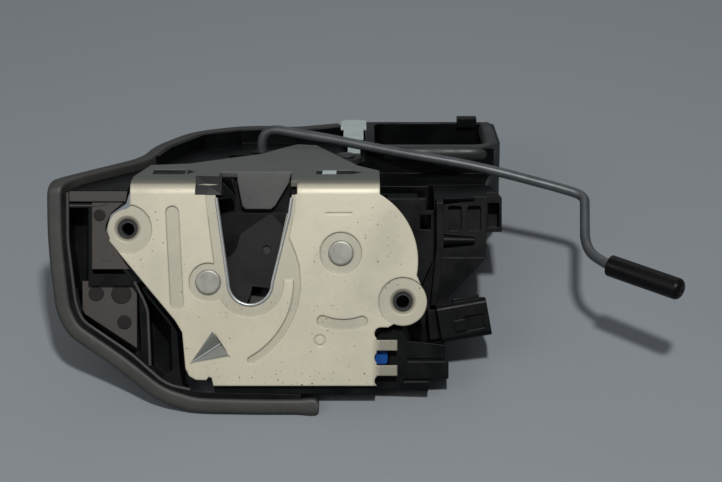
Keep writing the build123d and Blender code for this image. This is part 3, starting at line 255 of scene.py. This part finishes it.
# ---- finishes ----
def plate_zinc(name, edge):
    """Yellow-passivated zinc: fine rolled grain, cloudy tone, pits and dark specks; painted shade in its
    shallow recesses, a painted dark band on the bend, painted shade on the flange and in the pressed arrow.
    """
    f = Finish(name, srgb(187, 181, 161), metallic=0.2, roughness=0.5, specular=0.3)
    if edge > 0.0:
        f.soft_edges(edge * MM)
    cloud = f.noise(38.0, 4.0, 0.6)
    f.mix(f.step(cloud, 0.42, 0.68, 0.0, 0.65), srgb(162, 158, 144))
    warm = f.noise(21.0, 3.0, 0.5)
    f.mix(f.step(warm, 0.5, 0.75, 0.0, 0.45), srgb(190, 180, 152))
    grain = f.noise(900.0, 2.0, 0.6)
    f.mix(f.step(grain, 0.62, 0.75, 0.0, 0.25), srgb(142, 136, 120))
    depth = f.along(-PLATE_NORMAL)
    # painted shade: darker in the plate's shallow recesses, just behind the face
    f.mix(f.step(depth, 0.00002, 0.0005, 0.0, 0.3), srgb(122, 120, 110))
    # painted shade: a dark band on the bend, where the sheet turns from the face to the flange
    f.mix(f.step(depth, 0.0008, 0.0018, 0.0, 0.8), srgb(74, 73, 69))
    # painted shade: the flange and everything further behind the face drawn darker
    f.mix(f.step(depth, 0.0025, 0.007, 0.0, 0.85), srgb(84, 86, 86))
    tab = f.multiply(f.step(depth, 0.0142, 0.0147), f.step(f.along(PLATE_UP), 0.0373, 0.0370))
    f.mix(f.multiply(tab, 0.45), srgb(52, 54, 50))
    # painted shade: the pressed arrow's pocket drawn darker
    f.mix(f.multiply(f.pressed_arrow(), 0.9), srgb(92, 96, 92))
    f.mix(f.multiply(f.specks(330.0, 0.085), f.step(f.noise(60.0, 2.0), 0.40, 0.50)), srgb(46, 38, 30))
    f.mix(f.multiply(f.specks(170.0, 0.055, (0.3, 0.1, 0.2)), f.step(f.noise(33.0, 2.0), 0.42, 0.52)),
          srgb(58, 46, 34))
    f.mix(f.multiply(f.specks(640.0, 0.12, (0.7, 0.4, 0.1)), f.step(f.noise(52.0, 3.0), 0.48, 0.56)),
          srgb(66, 54, 40))
    up = f.along(PLATE_UP)
    chipped = f.step(up, -0.026, -0.034)
    f.mix(f.multiply(f.specks(430.0, 0.15, (0.2, 0.5, 0.9)), chipped), srgb(60, 50, 38))
    fingers = f.multiply(f.step(f.along(X_WAY), 0.0405, 0.0435), f.step(up, -0.0183, -0.0192))
    f.mix(f.multiply(fingers, 0.6), srgb(62, 64, 60))
    f.roughen(cloud, 0.45, 0.58)
    f.bump(f.noise(420.0, 3.0, 0.6), 0.00003, 0.6)
    return f.done()


def metal(name, base, stain, metallic, roughness, scale=120.0, edge=0.2):
    """Plain metal: an even base with soft stains and a faint grain."""
    f = Finish(name, base, metallic=metallic, roughness=roughness)
    f.soft_edges(edge * MM)
    f.mix(f.step(f.noise(scale, 4.0), 0.45, 0.7, 0.0, 0.6), stain)
    f.bump(f.noise(600.0, 2.0), 0.00003, 0.5)
    return f.done()


def plastic(name, base, dusty, roughness, dust=0.35, edge=0.3, shine=0.13):
    """Moulded plastic: fine erosion texture, a film of dust in soft patches."""
    f = Finish(name, base, roughness=roughness, specular=shine)
    f.soft_edges(edge * MM)
    f.mix(f.step(f.noise(55.0, 4.0, 0.65), 0.45, 0.72, 0.0, dust), dusty)
    f.roughen(f.noise(90.0, 3.0), roughness - 0.08, roughness + 0.1)
    f.bump(f.noise(1500.0, 2.0, 0.5), 0.00004, 0.5)
    return f.done()


def seal_rubber():
    """Foamed rubber: warm dark grey, satin, with pale scuffs."""
    f = Finish("seal_rubber", srgb(44, 44, 42), roughness=0.52, specular=0.35)
    f.mix(f.step(f.noise(45.0, 4.0, 0.6), 0.42, 0.7, 0.0, 0.55), srgb(62, 61, 58))
    f.mix(f.step(f.noise(300.0, 3.0, 0.6), 0.62, 0.78, 0.0, 0.25), srgb(86, 83, 78))
    f.bump(f.noise(800.0, 3.0, 0.6), 0.00005, 0.5)
    return f.done()


FINISHES = {
    "plate_zinc": plate_zinc("plate_zinc", 0.7),
    "plate_flat": plate_zinc("plate_flat", 0.0),
    "bright_zinc": metal("bright_zinc", srgb(164, 167, 164), srgb(142, 146, 146), 0.6, 0.34, 90.0),
    "rivet_zinc": metal("rivet_zinc", srgb(150, 149, 140), srgb(118, 118, 112), 0.45, 0.42, 240.0, 0.6),
    "clip_zinc": metal("clip_zinc", srgb(172, 182, 182), srgb(150, 160, 161), 0.12, 0.55, 90.0),
    # near-black: painted shade inside the screw bores (also used on the claw's core)
    "collar_steel": metal("collar_steel", srgb(34, 33, 31), srgb(22, 21, 20), 0.4, 0.45, 260.0),
    "dark_steel": metal("dark_steel", srgb(72, 74, 76), srgb(54, 55, 57), 0.55, 0.45),
    "rod_steel": metal("rod_steel", srgb(80, 84, 86), srgb(58, 61, 63), 0.5, 0.44, 160.0),
    "motor_steel": metal("motor_steel", srgb(168, 170, 172), srgb(140, 142, 144), 0.9, 0.3, 150.0),
    "contact_metal": metal("contact_metal", srgb(198, 170, 108), srgb(170, 140, 84), 0.9, 0.3, 200.0),
    "black_plastic": plastic("black_plastic", srgb(5, 6, 7), srgb(17, 18, 18), 0.36),
    "grey_plastic": plastic("grey_plastic", srgb(38, 38, 38), srgb(60, 60, 59), 0.46),
    "sleeve_plastic": plastic("sleeve_plastic", srgb(9, 9, 10), srgb(24, 24, 25), 0.34, dust=0.2),
    "claw_plastic": plastic("claw_plastic", srgb(27, 27, 27), srgb(42, 42, 41), 0.46),
    "panel_plastic": plastic("panel_plastic", srgb(60, 56, 53), srgb(72, 68, 64), 0.5, shine=0.22),
    # painted light: the tray's black plastic drawn lighter, for its lit crests and its pale mark
    "lip_plastic": plastic("lip_plastic", srgb(58, 56, 54), srgb(72, 70, 67), 0.45, shine=0.25),
    # painted light: black plastic drawn lighter, as lit from above
    "rim_plastic": plastic("rim_plastic", srgb(38, 39, 39), srgb(52, 53, 53), 0.42, shine=0.3),
    # painted shade: dark discs standing for the shade in round recesses
    "mark_plastic": plastic("mark_plastic", srgb(30, 28, 27), srgb(44, 42, 40), 0.42, edge=0.6),
    "gear_plastic": plastic("gear_plastic", srgb(214, 208, 190), srgb(190, 182, 160), 0.45),
    "blue_plastic": plastic("blue_plastic", srgb(12, 62, 128), srgb(30, 78, 136), 0.4),
    "seal_rubber": seal_rubber(),
}

# the record's slot of each finish that isn't a slot itself, and the nodes whose finish isn't their slot's
OWN_FINISH = {"claw_rivet": "rivet_zinc", "pawl_rivet": "rivet_zinc", "rim_clip": "clip_zinc",
              "screw_collars": "collar_steel", "claw_core": "collar_steel", "claw_jacket": "claw_plastic",
              "pawl_jacket": "claw_plastic", "side_tray": "black_plastic"}
for part in frame["record"]["subparts"]:
    material = FINISHES[OWN_FINISH.get(part["node"], part["material_slot"])]
    for obj in bpy.data.objects:
        if obj.type == "MESH" and obj.name == part["node"]:
            for slot in obj.material_slots:
                slot.material = material


# ---- surfaces carried along paths ----
def rounded(points, reach, samples=9):
    """Path with each inner corner turned into a parabola.

    The parabola starts and ends at a setback of reach from the corner, or 0.45 of the shorter leg:
    p = (1-s)^2 a + 2 s (1-s) corner + s^2 b, with a and b on the two legs.
    """
    points = np.asarray(points, float)
    legs = np.linalg.norm(np.diff(points[:, :3], axis=0), axis=1)
    setback = np.minimum(reach, 0.45 * np.minimum(legs[:-1], legs[1:]))[:, None]
    corner = points[1:-1]
    a = corner + (points[:-2] - corner) * setback / legs[:-1, None]
    b = corner + (points[2:] - corner) * setback / legs[1:, None]
    s = np.linspace(0.0, 1.0, samples)[None, :, None]
    bends = (1 - s) ** 2 * a[:, None] + 2 * s * (1 - s) * corner[:, None] + s ** 2 * b[:, None]
    return np.vstack((points[:1], bends.reshape(-1, points.shape[1]), points[-1:]))


def carried(path, up, profile, scale=None):
    """Closed skin of a profile carried along a path, all in metres.

    Each station has its tangent t, side = t x up, and up made square to t. A profile point (o, h)
    lands at path + o * side + h * up. The two ends are closed by a fan over the end loops.
    """
    path = np.asarray(path, float)
    profile = np.asarray(profile, float)
    t = np.gradient(path, axis=0)
    t /= np.linalg.norm(t, axis=1, keepdims=True)
    side = np.cross(t, up)
    side /= np.linalg.norm(side, axis=1, keepdims=True)
    square = np.cross(side, t)
    flat = np.ones((len(path), 2)) if scale is None else scale
    o = profile[None, :, 0, None] * flat[:, 0, None, None]
    h = profile[None, :, 1, None] * flat[:, 1, None, None]
    skin = path[:, None] + o * side[:, None] + h * square[:, None]
    ends = skin[[0, -1]].mean(axis=1)
    return np.vstack((skin.reshape(-1, 3), ends)), skin.shape[:2]


def skin_faces(shape):
    """Quads of a grid whose second way is closed, and fans to the two end points."""
    rows, cols = shape
    i, j = np.meshgrid(np.arange(rows - 1), np.arange(cols), indexing="ij")
    k = (j + 1) % cols
    quads = np.stack((i * cols + j, i * cols + k, (i + 1) * cols + k, (i + 1) * cols + j), axis=-1)
    j = np.arange(cols)
    k = (j + 1) % cols
    first, last = rows * cols, rows * cols + 1
    fan_a = np.stack((k, j, np.full(cols, first)), axis=-1)
    fan_b = np.stack(((rows - 1) * cols + j, (rows - 1) * cols + k, np.full(cols, last)), axis=-1)
    return quads.reshape(-1, 4).tolist() + fan_a.tolist() + fan_b.tolist()


def ring_faces(shape):
    """Quads of a grid that is closed both ways."""
    rows, cols = shape
    i, j = np.meshgrid(np.arange(rows), np.arange(cols), indexing="ij")
    n, k = (i + 1) % rows, (j + 1) % cols
    quads = np.stack((i * cols + j, i * cols + k, n * cols + k, n * cols + j), axis=-1)
    return quads.reshape(-1, 4).tolist()


def add_piece(name, points, faces, finish, body="latch_body", smooth_to=40.0):
    """Makes a piece's mesh, turns its faces outwards and hangs it on its body."""
    mesh = bpy.data.meshes.new(name)
    mesh.from_pydata(points.tolist(), [], faces)
    work = bmesh.new()
    work.from_mesh(mesh)
    bmesh.ops.recalc_face_normals(work, faces=work.faces)
    work.to_mesh(mesh)
    work.free()
    mesh.shade_smooth()
    mesh.set_sharp_from_angle(angle=np.radians(smooth_to))
    mesh.materials.append(FINISHES[finish])
    piece = bpy.data.objects.new(name, mesh)
    bpy.context.scene.collection.objects.link(piece)
    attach(piece, body)
    return piece


def way_of(normal, count):
    """The same direction for each station of a path."""
    return np.tile(normal, (count, 1))


def round_rod(radius, count=12):
    """Profile of a round bead: (r cos a, r sin a)."""
    a = np.linspace(0.0, 2.0 * np.pi, count, endpoint=False)
    return np.stack((radius * np.cos(a), radius * np.sin(a)), axis=-1) * MM


def carry_piece(name, path, normal, profile, finish, body="latch_body", smooth_to=40.0):
    """Piece whose skin is a profile carried along a path, with one normal as up at every station."""
    points, shape = carried(path, way_of(normal, len(path)), profile)
    return add_piece(name, points, skin_faces(shape), finish, body, smooth_to)


def bead_on_plate(name, corners, depth, radius, finish):
    """Round bead along a run of corners (x, y) at one depth, its corners turned into parabolas."""
    corners = np.asarray(corners, float)
    path = rounded(on_plate(corners[:, 0], corners[:, 1], depth + 0.0 * corners[:, 0]), BEAD_REACH)
    return carry_piece(name, path, PLATE_NORMAL, round_rod(radius), finish, smooth_to=70.0)


def prism(name, place, outline, fore, rear, finish):
    """Closed prism: the outline's (u, v) laid by place at the fore and the rear height."""
    outline = np.asarray(outline, float)
    count = len(outline)
    u, v = np.tile(outline, (2, 1)).T
    points = place(u, v, np.repeat([fore, rear], count))
    j = np.arange(count)
    k = (j + 1) % count
    walls = np.stack((j, k, k + count, j + count), axis=-1).tolist()
    return add_piece(name, points, walls + [j.tolist(), (j + count).tolist()], finish, smooth_to=30.0)


def disc(name, centre, depth, radius, thick, finish):
    """Flat disc on the plate's level: two rings of points (r cos a, r sin a) and their centres."""
    a = np.tile(np.linspace(0.0, 2.0 * np.pi, DISC_SIDES, endpoint=False), 2)
    depths = np.repeat([depth, depth + thick], DISC_SIDES)
    rims = on_plate(centre[0] + radius * np.cos(a), centre[1] + radius * np.sin(a), depths)
    middles = on_plate([centre[0]] * 2, [centre[1]] * 2, [depth, depth + thick])
    front_middle, back_middle = 2 * DISC_SIDES, 2 * DISC_SIDES + 1
    j = np.arange(DISC_SIDES)
    k = (j + 1) % DISC_SIDES
    wall = np.stack((j, k, k + DISC_SIDES, j + DISC_SIDES), axis=-1).tolist()
    front = np.stack((j, k, np.full(DISC_SIDES, front_middle)), axis=-1).tolist()
    back = np.stack((j + DISC_SIDES, k + DISC_SIDES, np.full(DISC_SIDES, back_middle)), axis=-1).tolist()
    return add_piece(name, np.vstack((rims, middles)), wall + front + back, finish)


# ---- seal: one rubber profile from its free end, round the tray and along the leg ----
SEAL_HALF = 2.5
SEAL_FOOT = 6.0           # depth of its foot under the crown
CROWN = 1.7               # height of the crown's rounding
ROUND_POWER = 0.55        # of the crown's superellipse, where 1 is an ellipse and 0 a box
SEAL_BEND = 9.0           # setback of its corners
SWELL, SWELL_AT = 0.2, 2.6    # its swollen end: how much wider, and how far from the tip
TIP = 1.6                 # length of its rounded tip
# the stations lie close together at the free end, where the width changes
seal_on_plate = np.array([
    (23.0, -41.5), (22.8, -41.5), (22.4, -41.5), (21.8, -41.5), (21.0, -41.5), (19.6, -41.5), (18.0, -41.4),
    (15.0, -41.3), (3.0, -41.3), (-14.0, -40.9), (-19.2, -40.5), (-30.0, -37.2), (-42.6, -27.0),
    (-59.3, -15.6), (-62.6, -8.5), (-65.2, 14.0), (-65.4, BEND_Y),
])
seal_on_leg = np.array([
    (-61.5, 8.0), (-38.6, 36.0), (-35.9, 55.0), (-25.2, 77.8), (-9.6, 86.6), (0.0, 88.0),
    (11.6, 85.2), (28.4, 92.4),
])
corner_up = (PLATE_NORMAL + LEG_NORMAL) / np.linalg.norm(PLATE_NORMAL + LEG_NORMAL)
seal_rows = np.vstack((
    np.hstack((on_plate(seal_on_plate[:, 0], seal_on_plate[:, 1], 0.0 * seal_on_plate[:, 0]),
               way_of(PLATE_NORMAL, len(seal_on_plate)))),
    np.hstack((on_leg(seal_on_leg[:, 0], seal_on_leg[:, 1], 0.3 + 0.0 * seal_on_leg[:, 0]),
               way_of(LEG_NORMAL, len(seal_on_leg)))),
))
seal_rows[len(seal_on_plate) - 1, 3:] = corner_up
seal_rows = rounded(seal_rows, SEAL_BEND * MM, 11)
# section: a foot, and a crown (h cos a, c sin a), each cosine and sine raised to the round power
crown = np.radians(np.linspace(180.0, 0.0, 17))
seal_profile = np.vstack((
    [(-SEAL_HALF, -SEAL_FOOT)],
    np.stack((SEAL_HALF * np.sign(np.cos(crown)) * np.abs(np.cos(crown)) ** ROUND_POWER,
              CROWN * np.abs(np.sin(crown)) ** ROUND_POWER - CROWN), axis=-1),
    [(SEAL_HALF, -SEAL_FOOT)],
)) * MM
# width over the run r: 1 + swell exp(-((r - at) / at)^2), drawn in towards the tip as a rounded end
run_length = np.concatenate(([0.0], np.cumsum(np.linalg.norm(np.diff(seal_rows[:, :3], axis=0), axis=1))))
swell = 1.0 + SWELL * np.exp(-((run_length - SWELL_AT * MM) / (SWELL_AT * MM)) ** 2)
swell *= np.sqrt(1.0 - 0.9 * np.clip(1.0 - run_length / (TIP * MM), 0.0, 1.0) ** 2)
seal_points, seal_shape = carried(seal_rows[:, :3], seal_rows[:, 3:], seal_profile,
                                  np.stack((swell, np.ones_like(swell)), axis=-1))
# nothing of it may pass the front and the underside of the solids' box
seal_points[:, 1:] = np.maximum(seal_points[:, 1:], np.array(cad_box[0])[1:])
seal_bulb = add_piece("seal_bulb", seal_points, skin_faces(seal_shape), "seal_rubber", smooth_to=60.0)
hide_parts("rim_seal")

# ---- painted shade: a near-black strip over the gap between the seal and the tray's wall; and the fine lip that crowns the tray's wall, painted lighter as lit ----
gap_shade_line = np.array([
    (17.0, -38.3), (3.0, -38.1), (-13.6, -37.7), (-18.0, -37.3), (-28.2, -34.4), (-40.6, -24.4),
    (-56.6, -13.6), (-59.3, -7.6), (-62.1, 14.2), (-62.2, 31.0),
])
GAP_SHADE_HALF, GAP_SHADE_THICK, GAP_SHADE_DEPTH = 1.15, 0.25, 0.85
gap_shade_path = rounded(on_plate(gap_shade_line[:, 0], gap_shade_line[:, 1], GAP_SHADE_DEPTH + 0.0 * gap_shade_line[:, 0]), 6.0 * MM)
gap_shade_profile = MM * np.array([
    (-GAP_SHADE_HALF, -GAP_SHADE_THICK), (GAP_SHADE_HALF, -GAP_SHADE_THICK), (GAP_SHADE_HALF, 0.0), (-GAP_SHADE_HALF, 0.0),
])
# near-black strip laid over the tray wall's top: painted shade in the gap between the seal and the tray
carry_piece("seal_web", gap_shade_path, PLATE_NORMAL, gap_shade_profile, "sleeve_plastic")
# lips on the tray walls' crests, in the lighter copy of its black plastic: painted light
bead_on_plate("tray_lip", [(-61.0, 30.2), (-60.9, 14.1), (-58.2, -7.2), (-56.0, -12.6), (-40.2, -23.3),
                           (-29.6, -32.6), (-26.0, -34.4), (-20.0, -35.6)], 0.8, 0.55, "lip_plastic")
bead_on_plate("tray_rib_lip", [(-38.7, 0.4), (-35.6, -5.6), (-34.2, -9.2), (-33.4, -27.6)], 0.9, 0.5,
              "lip_plastic")
bead_on_plate("tray_top_lip", [(-60.6, 25.8), (-50.0, 25.8), (-47.6, 26.6)], 1.0, 0.35, "lip_plastic")

# ---- rolled lip of the striker slot ----
LIP_R = 7.4               # of its run round the slot's end
arc = np.radians(np.linspace(180.0, 360.0, 25))
lip_x = np.concatenate(([-11.35, -10.6], LIP_R * np.cos(arc), [13.1, 13.85]))
lip_y = np.concatenate(([28.4, 23.0], LIP_R * np.sin(arc), [23.0, 28.4]))
lip_path = on_plate(lip_x, lip_y, 0.62 + 0.0 * lip_x)
carry_piece("slot_lip", lip_path, PLATE_NORMAL, round_rod(0.6, 14), "bright_zinc", smooth_to=80.0)

# ---- threads cut in the two screw collars, and near-black discs that close the bores deep down: painted shade in the holes ----
THREAD_PITCH = 1.0
THREAD_DEEP = 0.34
BORE_R, LINER_R = 2.46, 2.49
COLLAR_FROM, COLLAR_TO = 2.2, 10.9
LINER_SIDES = 40
SHADE_DISC_DEPTH, SHADE_DISC_R, SHADE_DISC_THICK = 10.6, 2.45, 0.3
LEFT_BOSS = (-41.0, 18.0)
RIGHT_BOSS = (51.0, -6.3)


def bore_thread(name, centre):
    """Thin liner of a bore with a triangular thread.

    Over the turn a and the depth d the inner radius is bore - deep |2 frac(d / pitch - a / 2 pi) - 1|.
    The outer wall is a plain cylinder, and the two walls join at both ends, so the skin is closed.
    """
    a = np.linspace(0.0, 2.0 * np.pi, LINER_SIDES, endpoint=False)[:, None]
    down = np.linspace(COLLAR_FROM, COLLAR_TO, 72)[None, :]
    wave = np.abs(2.0 * np.mod(down / THREAD_PITCH - a / (2.0 * np.pi), 1.0) - 1.0)
    radius = np.hstack((BORE_R - THREAD_DEEP * wave, np.full((LINER_SIDES, 2), LINER_R)))
    down_again = np.tile((COLLAR_TO, COLLAR_FROM), (LINER_SIDES, 1))
    depth = np.hstack((np.repeat(down, LINER_SIDES, axis=0), down_again))
    points = on_plate(centre[0] + radius * np.cos(a), centre[1] + radius * np.sin(a), depth)
    return add_piece(name, points.reshape(-1, 3), ring_faces(radius.shape), "dark_steel", smooth_to=25.0)


for side, boss in (("left", LEFT_BOSS), ("right", RIGHT_BOSS)):
    bore_thread("bore_thread_" + side, boss)
    # near-black disc deep in the bore: painted shade in the hole
    disc("bore_end_" + side, boss, SHADE_DISC_DEPTH, SHADE_DISC_R, SHADE_DISC_THICK, "sleeve_plastic")

# ---- bright ridge of the pressed arrow ----
ridge = np.array([(-20.0, -26.8, 0.05), (-15.0, -23.6, 0.55), (-9.9, -20.3, 1.3)])
ridge_path = on_plate(ridge[:, 0], ridge[:, 1], ridge[:, 2])
carry_piece("arrow_ridge", ridge_path, PLATE_NORMAL, round_rod(0.28, 10), "bright_zinc", smooth_to=80.0)

# ---- moulded guide in the mouth's left corner: a plate of facets with a diagonal crease ----
guide_front = np.array([
    (-16.6, 28.6, 2.6), (-16.6, 34.6, 3.2), (-10.4, 34.8, 4.9), (-6.6, 34.9, 3.4), (-4.6, 28.4, 4.9),
    (-9.6, 28.0, 2.7),
])
guide_back = guide_front * (1.0, 1.0, 0.0) + (0.0, 0.0, 5.15)
guide_rows = np.vstack((guide_front, guide_back))
corner = np.arange(6)
following = (corner + 1) % 6
guide_faces = np.stack((corner, following, following + 6, corner + 6), axis=-1).tolist() + [
    (0, 1, 2), (0, 2, 5), (2, 4, 5), (2, 3, 4), (11, 10, 9, 8, 7, 6)]
add_piece("mouth_guide", on_plate(guide_rows[:, 0], guide_rows[:, 1], guide_rows[:, 2]), guide_faces,
          "black_plastic", smooth_to=5.0)

# ---- the plate's two corners beside the mouth, at the sheet's own faces ----
SHEET_FACE, STEP_FACE, SHEET_BACK = -0.02, 0.48, 2.0
CORNER_FOOT, CORNER_TOP = 21.9, 29.4
prism("corner_left", on_plate,
      [(-19.2, CORNER_FOOT), (-14.3, CORNER_FOOT), (-15.0, CORNER_TOP), (-19.2, CORNER_TOP)],
      SHEET_FACE, SHEET_BACK, "plate_flat")
prism("corner_left_step", on_plate,
      [(-14.3, CORNER_FOOT), (-10.8, CORNER_FOOT), (-11.6, CORNER_TOP), (-15.0, CORNER_TOP)],
      STEP_FACE, SHEET_BACK, "plate_flat")
prism("corner_right_step", on_plate,
      [(13.0, CORNER_FOOT), (15.0, CORNER_FOOT), (15.2, CORNER_TOP), (14.0, CORNER_TOP)],
      STEP_FACE, SHEET_BACK, "plate_flat")
prism("corner_right", on_plate,
      [(15.0, CORNER_FOOT), (16.9, CORNER_FOOT), (16.9, CORNER_TOP + 0.2), (15.2, CORNER_TOP + 0.2)],
      SHEET_FACE, SHEET_BACK, "plate_flat")

# ---- lugs of the case that fill the flange's two arrow slots, and the bright bar in the right one ----
prism("slot_lug_left", on_leg, [(-33.9, 12.6), (-22.3, 12.6), (-19.6, 16.0), (-22.3, 19.4), (-33.9, 19.4)],
      -0.25, -1.9, "black_plastic")
prism("slot_lug_right", on_leg, [(21.9, 12.6), (33.7, 12.6), (38.1, 15.5), (33.7, 18.4), (21.9, 18.4)],
      -0.25, -1.9, "black_plastic")
prism("slot_bar", on_leg, [(23.8, 12.7), (28.6, 12.7), (28.6, 18.3), (23.8, 18.3)],
      -0.12, -1.0, "clip_zinc")

# ---- guide block left of the tab, standing through the notch of the bend ----
# its two ends share one side view, (rise, depth); one front point of each end lies deeper, which
# breaks the front into two facets
BLOCK_LEFT_X, BLOCK_RIGHT_X = -18.2, -9.5
block_side = np.array([(0.0, 0.1), (6.3, 1.6), (6.4, 8.8), (3.2, 3.1), (0.0, 3.1)])
block_rise, block_depth = np.tile(block_side, (2, 1)).T
block_x = np.repeat([BLOCK_LEFT_X, BLOCK_RIGHT_X], 5)
block_foot = np.repeat([29.5, 29.3], 5)         # y of the left and of the right end's foot
block_depth += (0.0, 0.4, 0.0, 0.0, 0.0, 0.4, 0.0, 0.0, 0.0, 0.0)
block_walls = [(1, 2, 7, 6), (2, 3, 8, 7), (3, 4, 9, 8), (4, 0, 5, 9), (0, 1, 5), (1, 6, 5),
               (4, 3, 2, 1, 0), (5, 6, 7, 8, 9)]
add_piece("mouth_block", on_plate(block_x, block_foot + block_rise, block_depth), block_walls,
          "black_plastic", smooth_to=5.0)

# ---- tray: the moulded panels between its channels, and their round marks; the dark marks are painted shade of recesses ----
prism("tray_panel_top", on_plate, [(-60.4, 27.2), (-41.6, 27.2), (-41.0, 30.6), (-60.4, 30.6)], 0.84, 3.0,
      "panel_plastic")
prism("tray_panel_mid", on_plate,
      [(-52.8, 4.6), (-40.4, 4.6), (-42.4, 7.4), (-48.4, 17.5), (-48.1, 19.8), (-46.4, 23.4), (-42.4, 26.8),
       (-52.8, 26.8)], 0.9, 2.6, "panel_plastic")
prism("tray_panel_low", on_plate,
      [(-56.2, 0.6), (-56.2, -8.8), (-55.4, -10.4), (-38.0, -21.8), (-38.0, -2.0), (-40.0, 0.2),
       (-41.2, 0.6)],
      2.2, 3.8, "panel_plastic")
MARK_THICK = 0.5
tray_marks = [                  # centre, radius, depth
    ((-43.2, -3.7), 3.4, 2.15),
    ((-42.2, -13.2), 2.4, 2.15),
    ((-51.6, -3.6), 2.6, 2.17),
    ((-50.3, 22.6), 2.0, 0.87),
]
# flat dark discs: painted shade of the panels' round recesses
for number, (centre, mark_r, mark_depth) in enumerate(tray_marks):
    disc("tray_mark_" + str(number), centre, mark_depth, mark_r, MARK_THICK, "mark_plastic")
# painted light: a mark in the lighter copy of the tray's plastic
disc("tray_mark_light", (-48.0, 9.4), 0.85, 2.3, MARK_THICK, "lip_plastic")

# ---- ring: the rounded rim that crowns its near side and its end, its black plastic painted lighter as lit ----
CREST_HALF, CREST_RISE, CREST_DROP = 3.0, 3.2, 2.4
crest = np.radians(np.linspace(0.0, 360.0, 24, endpoint=False))
crest_profile = MM * np.stack((CREST_HALF * np.cos(crest), CREST_RISE * np.sin(crest) - CREST_DROP), axis=-1)
crest_path = rounded(on_leg([45.5, 85.0, 85.0], [54.0, 54.0, 93.5], [0.0, 0.0, 0.0]), 9.0 * MM, 13)
carry_piece("ring_rim", crest_path, LEG_NORMAL, crest_profile, "rim_plastic", smooth_to=60.0)

# ---- lock rod, with the wide bends of formed wire ----
ROD_R = 1.75
rod_line = np.vstack((
    on_leg([0.7, 0.7], [60.0, 60.0], [-10.8, 6.0]), on_leg([26.0], [53.8], [3.0]),
    on_plate([51.0, 72.4, 86.6, 107.7, 116.2, 113.6, 114.6, 119.6, 124.4],
             [45.7, 41.9, 38.6, 32.8, 30.0, 14.3, 9.6, 6.0, 4.2],
             [46.0, 43.0, 41.0, 38.0, 36.0, 15.0, 8.0, 1.0, -2.1]),
))
rod_path = rounded(rod_line, 7.5 * MM, 11)
rod_wire = carry_piece("rod_wire", rod_path, PLATE_NORMAL, round_rod(ROD_R, 20), "rod_steel",
                       "lock_rod_body", 60.0)
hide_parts("lock_rod")

# ---- floor ----
FLOOR_HALF = 3.0
floor_z = float(cad_box[0][2])
floor_mesh = bpy.data.meshes.new("floor")
corners = [(-FLOOR_HALF, -FLOOR_HALF, floor_z), (FLOOR_HALF, -FLOOR_HALF, floor_z),
           (FLOOR_HALF, FLOOR_HALF, floor_z), (-FLOOR_HALF, FLOOR_HALF, floor_z)]
floor_mesh.from_pydata(corners, [], [(0, 1, 2, 3)])
floor = bpy.data.objects.new("floor", floor_mesh)
bpy.context.scene.collection.objects.link(floor)
floor_finish = Finish("floor", srgb(126, 131, 135), roughness=0.6, specular=0.2)
floor.data.materials.append(floor_finish.done())


# ---- light: one lamp high in front, soft ones from the left and from behind, an even surround ----
def area_lamp(name, place, target, size, power):
    """Square soft lamp at a place in metres, aimed at a target."""
    data = bpy.data.lights.new(name, "AREA")
    data.size = size
    data.energy = power
    lamp = bpy.data.objects.new(name, data)
    bpy.context.scene.collection.objects.link(lamp)
    aim = (Vector(target) - Vector(place)).to_track_quat("-Z", "Y")
    lamp.matrix_world = Matrix.Translation(Vector(place)) @ aim.to_matrix().to_4x4()


MIDDLE = (0.03, 0.03, 0.0)
area_lamp("key", (0.09, -0.335, 0.745), MIDDLE, 0.055, 5.6)
area_lamp("fill", (-0.36, -0.30, 0.42), (-0.05, -0.02, 0.03), 0.34, 0.8)
area_lamp("back", (0.15, 0.75, 0.55), MIDDLE, 0.6, 0.9)
world = bpy.data.worlds.new("world")
world.use_nodes = True
surround = world.node_tree.nodes["Background"]
surround.inputs["Color"].default_value = (0.9, 0.95, 1.0, 1.0)
surround.inputs["Strength"].default_value = 0.17
bpy.context.scene.world = world
bpy.context.scene.view_settings.view_transform = "Standard"
